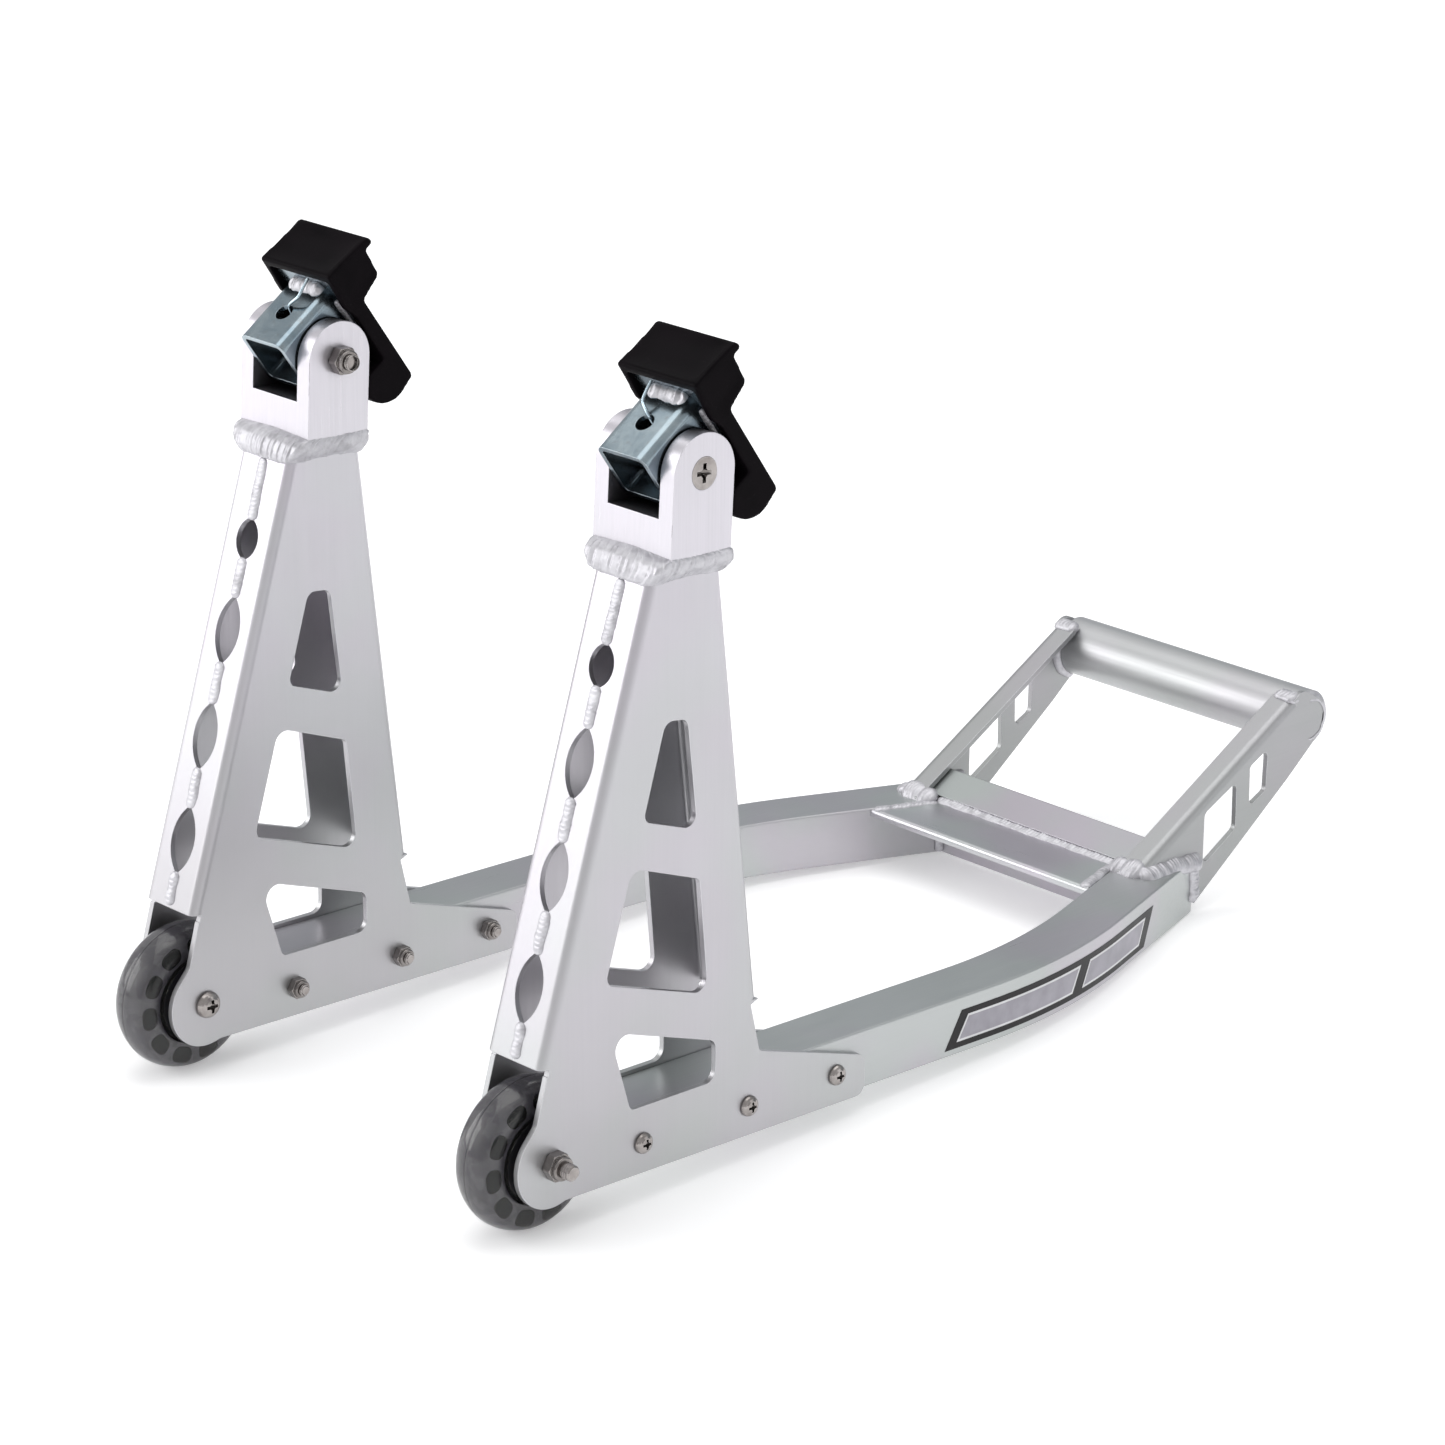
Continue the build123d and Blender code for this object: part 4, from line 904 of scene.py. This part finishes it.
def arm_bead_form():
    """Beads at the foot of the handle arm, down the end of the rail and round the handle."""
    form = Form()
    z, end_z = rail_top(480.5), rail_top(527) + 0.8
    bead(form, [(66.0, 481.0, z + 1.0), (89.4, 481.0, z + 1.0)], (0, -0.75, 1), 7.6, 4.2,
         pitch=2.0, seed=31, sink=3.4, curve=0.8, depth=0.16)
    bead(form, [(90.4, 478.6, z + 0.6), (89.6, 500.0, rail_top(500.0) + 1.0), (89.0, 527.4, end_z)],
         (0.6, 0, 1), 6.2, 3.4, pitch=2.0, seed=33, sink=3.2, curve=0.8, depth=0.16)
    bead(form, [(88.0, 524.9, end_z), (88.0, 524.9, 6.5)], (1, 0.30, 0), 5.0, 2.6,
         pitch=2.2, seed=35, sink=2.4, curve=0.6)
    turned_bead(form, 112, 258, corner_section, (ARM_IN_X + 0.8, HANDLE_R - 0.8),
                count=110, reach=17.0, half=2.2, height=1.0, curve=0.6, seed=77)
    bead(form, [(74.2, 605.2, 104.3), (86.2, 605.2, 104.3), (88.3, 606.0, 101.8)], (0.3, -0.2, 1), 5.0, 2.2,
         pitch=2.3, seed=41, sink=2.6)
    turned_bead(form, -96, 98, rim_section, (ARM_IN_X - 0.6, HANDLE_R - 2.0),
                count=120, reach=14.0, half=2.6, height=1.1, curve=0.5, seed=87)
    return form


def corner_section(v, s, swell, heap):
    """From the handle tube, standing off along -X, to the arm's inner face, standing off radially."""
    size = 3.3 * swell * (1 + 0.15 * wander(s, 78))
    return ARM_IN_X - ((1 - v) / 2 * size + heap * 0.7), HANDLE_R + (1 + v) / 2 * size + heap * 0.7


def rim_section(v, s, swell, heap):
    """From the handle tube's rim to the outer face of an arm's plate."""
    across = (1 + v) / 2
    inset = across * (5.4 + 0.7 * wander(s, 88))
    return ARM_IN_X - 0.1 + across * 3.3 + heap * 0.7, HANDLE_R - 0.25 - inset + heap * 0.6


def crossbar_bead_form():
    """Beads along the rear strip, at the shelf's ends and at the web's ends."""
    form = Form()
    top = rail_top(487.0)
    bead(form, [(-67, 486.4, top + 0.8), (67, 486.4, top + 0.8)], (0, -0.30, 1), 4.4, 1.6,
         pitch=2.2, seed=51, sink=3.0, curve=0.9)
    for k, side in enumerate((-1, 1)):
        bead(form, [(side * 78.0, 446.5, rail_top(446) - 0.1), (side * 65.0, 482.5, top)], (0, 0, 1),
             3.0, 1.5, pitch=2.5, seed=53 + k, sink=1.5)
        bead(form, [(side * 64.8, 485.7, 2.2), (side * 64.8, 485.7, top - 4)], (-side, -0.8, 0), 2.5, 1.5,
             pitch=2.4, seed=56 + k, sink=1.5)
    return form


# ---------------------------------------------------------------- the pieces
rail_screws, axle_screw, pivot_screw = screws_form()
SIDE_PIECES = (
    # name, form, looks, body, slot, CAD node that it stands for, how its form is placed
    ("rubber_pad", boot_form(), [RUBBER], "{}_pad", "black_rubber", "{}_pad_boot", from_pad),
    ("wire_hook", wire_form(), [ZINC_BEAD], "{}_pad", "fastener_steel", "{}_retaining_wire", from_pad),
    ("holder_bead", holder_bead_form(), [WELD], "{}_pad", "zinc_steel", "{}_holder_weld", from_pad),
    ("collar_bead", collar_form(), [WELD], "frame", "weld_bead", "{}_clevis_weld", from_clevis),
    ("seam_beads", seam_form(), [WELD_GREY], "frame", "weld_bead", "{}_seam_weld", None),
    ("clear_tyre", tyre_form(), [TYRE], "{}_wheel", "smoke_polyurethane", "{}_tyre", None),
    ("tyre_core", core_form(), [CORE, POCKET_SHADE_AND_RING], "{}_wheel", "black_plastic", None, None),
    ("bolt_threads", threads_form(), [STEEL], "frame", "fastener_steel", None, None),
    ("rail_screws", rail_screws, [STEEL], "frame", "fastener_steel", "rail_bolts", None),
    ("axle_screws", axle_screw, [STEEL], "frame", "fastener_steel", "axle_bolts", None),
    ("pivot_screws", pivot_screw, [STEEL], "frame", "fastener_steel", "pivot_bolts", None),
    ("arm_beads", arm_bead_form(), [WELD_GREY], "frame", "weld_bead", "{}_arm_welds", None),
)
for side in ("right", "left"):
    for name, form, looks, body, slot, node_name, place in SIDE_PIECES:
        stands_for = [node_name.format(side)] if node_name else ()
        made = piece(f"{side}_{name}", form, looks, body.format(side), stands_for,
                     side == "left", place)

piece("crossbar_beads", crossbar_bead_form(), [WELD_GREY], "frame", ["crossbar_welds"])
piece("rail_stripe", stripe_form(), [STRIPE_DARK, STRIPE_PALE, STRIPE_GREY], "frame")

# ---------------------------------------------------------------- floor, light and camera, in metres
FLOOR_HALF, FLOOR_GAP = 9, 0.0002
floor_mesh = bpy.data.meshes.new("floor")
floor_mesh.from_pydata([(-FLOOR_HALF, -FLOOR_HALF, 0), (FLOOR_HALF, -FLOOR_HALF, 0),
                        (FLOOR_HALF, FLOOR_HALF, 0), (-FLOOR_HALF, FLOOR_HALF, 0)], [], [(0, 1, 2, 3)])
floor_mesh.materials.append(pale_floor())
floor = placed("floor", floor_mesh)
floor.location.z = -FLOOR_GAP


def softbox(name, at, aim, width, height, power):
    """Rectangular lamp that faces a point."""
    light = bpy.data.lights.new(name, "AREA")
    light.shape, light.size, light.size_y, light.energy = "RECTANGLE", width, height, power
    lamp = placed(name, light)
    lamp.location = at
    lamp.rotation_euler = (Vector(aim) - Vector(at)).to_track_quat("-Z", "Y").to_euler()


softbox("key_left", (-2.1, -2.3, 1.25), (0.0, -0.1, 0.15), 2.4, 2.0, 41.0)
softbox("overhead", (-0.3, 0.2, 2.6), (0.0, 0.0, 0.1), 2.6, 2.6, 29.0)
softbox("fill_right", (2.6, 1.4, 1.2), (0.0, 0.1, 0.15), 1.6, 1.6, 6.0)

# studio walls: pale, greyer behind the stand, and a white ceiling
world = bpy.data.worlds.new("studio")
world.use_nodes = True
sky = Tree(world.node_tree)
way = sky.node("ShaderNodeTexCoord").outputs["Generated"]
leans = sky.node("ShaderNodeSeparateXYZ", {0: way}).outputs
to_back = sky.spread(leans["Y"], 0.0, 1.0, 0.15, 0.75, interpolation_type="SMOOTHSTEP")
to_top = sky.spread(leans["Z"], 0.0, 1.0, 0.35, 0.85, interpolation_type="SMOOTHSTEP")
walls = sky.blend(to_back, (0.96, 0.96, 0.97), (0.60, 0.645, 0.68))
background = sky.tree.nodes["Background"]
sky.feed(background.inputs["Color"], sky.blend(to_top, walls, (1.0, 1.0, 1.0)))
background.inputs["Strength"].default_value = 0.66

scene = bpy.context.scene
scene.world = world
scene.view_settings.view_transform = "Standard"
scene.view_settings.look = "None"
scene.view_settings.exposure = 0.0

AZIMUTH, ELEVATION, ROLL = radians(45.74), radians(20.0), radians(0.47)
CAMERA_AT, LENS, SENSOR_WIDTH = (1.67741, -1.68142, 1.00693), 121.76, 36.0
back = Vector((sin(AZIMUTH) * cos(ELEVATION), -cos(AZIMUTH) * cos(ELEVATION), sin(ELEVATION)))
across = Vector((cos(AZIMUTH), sin(AZIMUTH), 0.0))
upward = back.cross(across)
turned_x = across * cos(ROLL) + upward * sin(ROLL)
turned_y = upward * cos(ROLL) - across * sin(ROLL)
camera_data = bpy.data.cameras.new("camera")
camera_data.lens, camera_data.sensor_width = LENS, SENSOR_WIDTH
camera = placed("camera", camera_data)
axes = Matrix((turned_x, turned_y, back)).transposed()
camera.matrix_world = Matrix.Translation(CAMERA_AT) @ axes.to_4x4()
scene.camera = camera
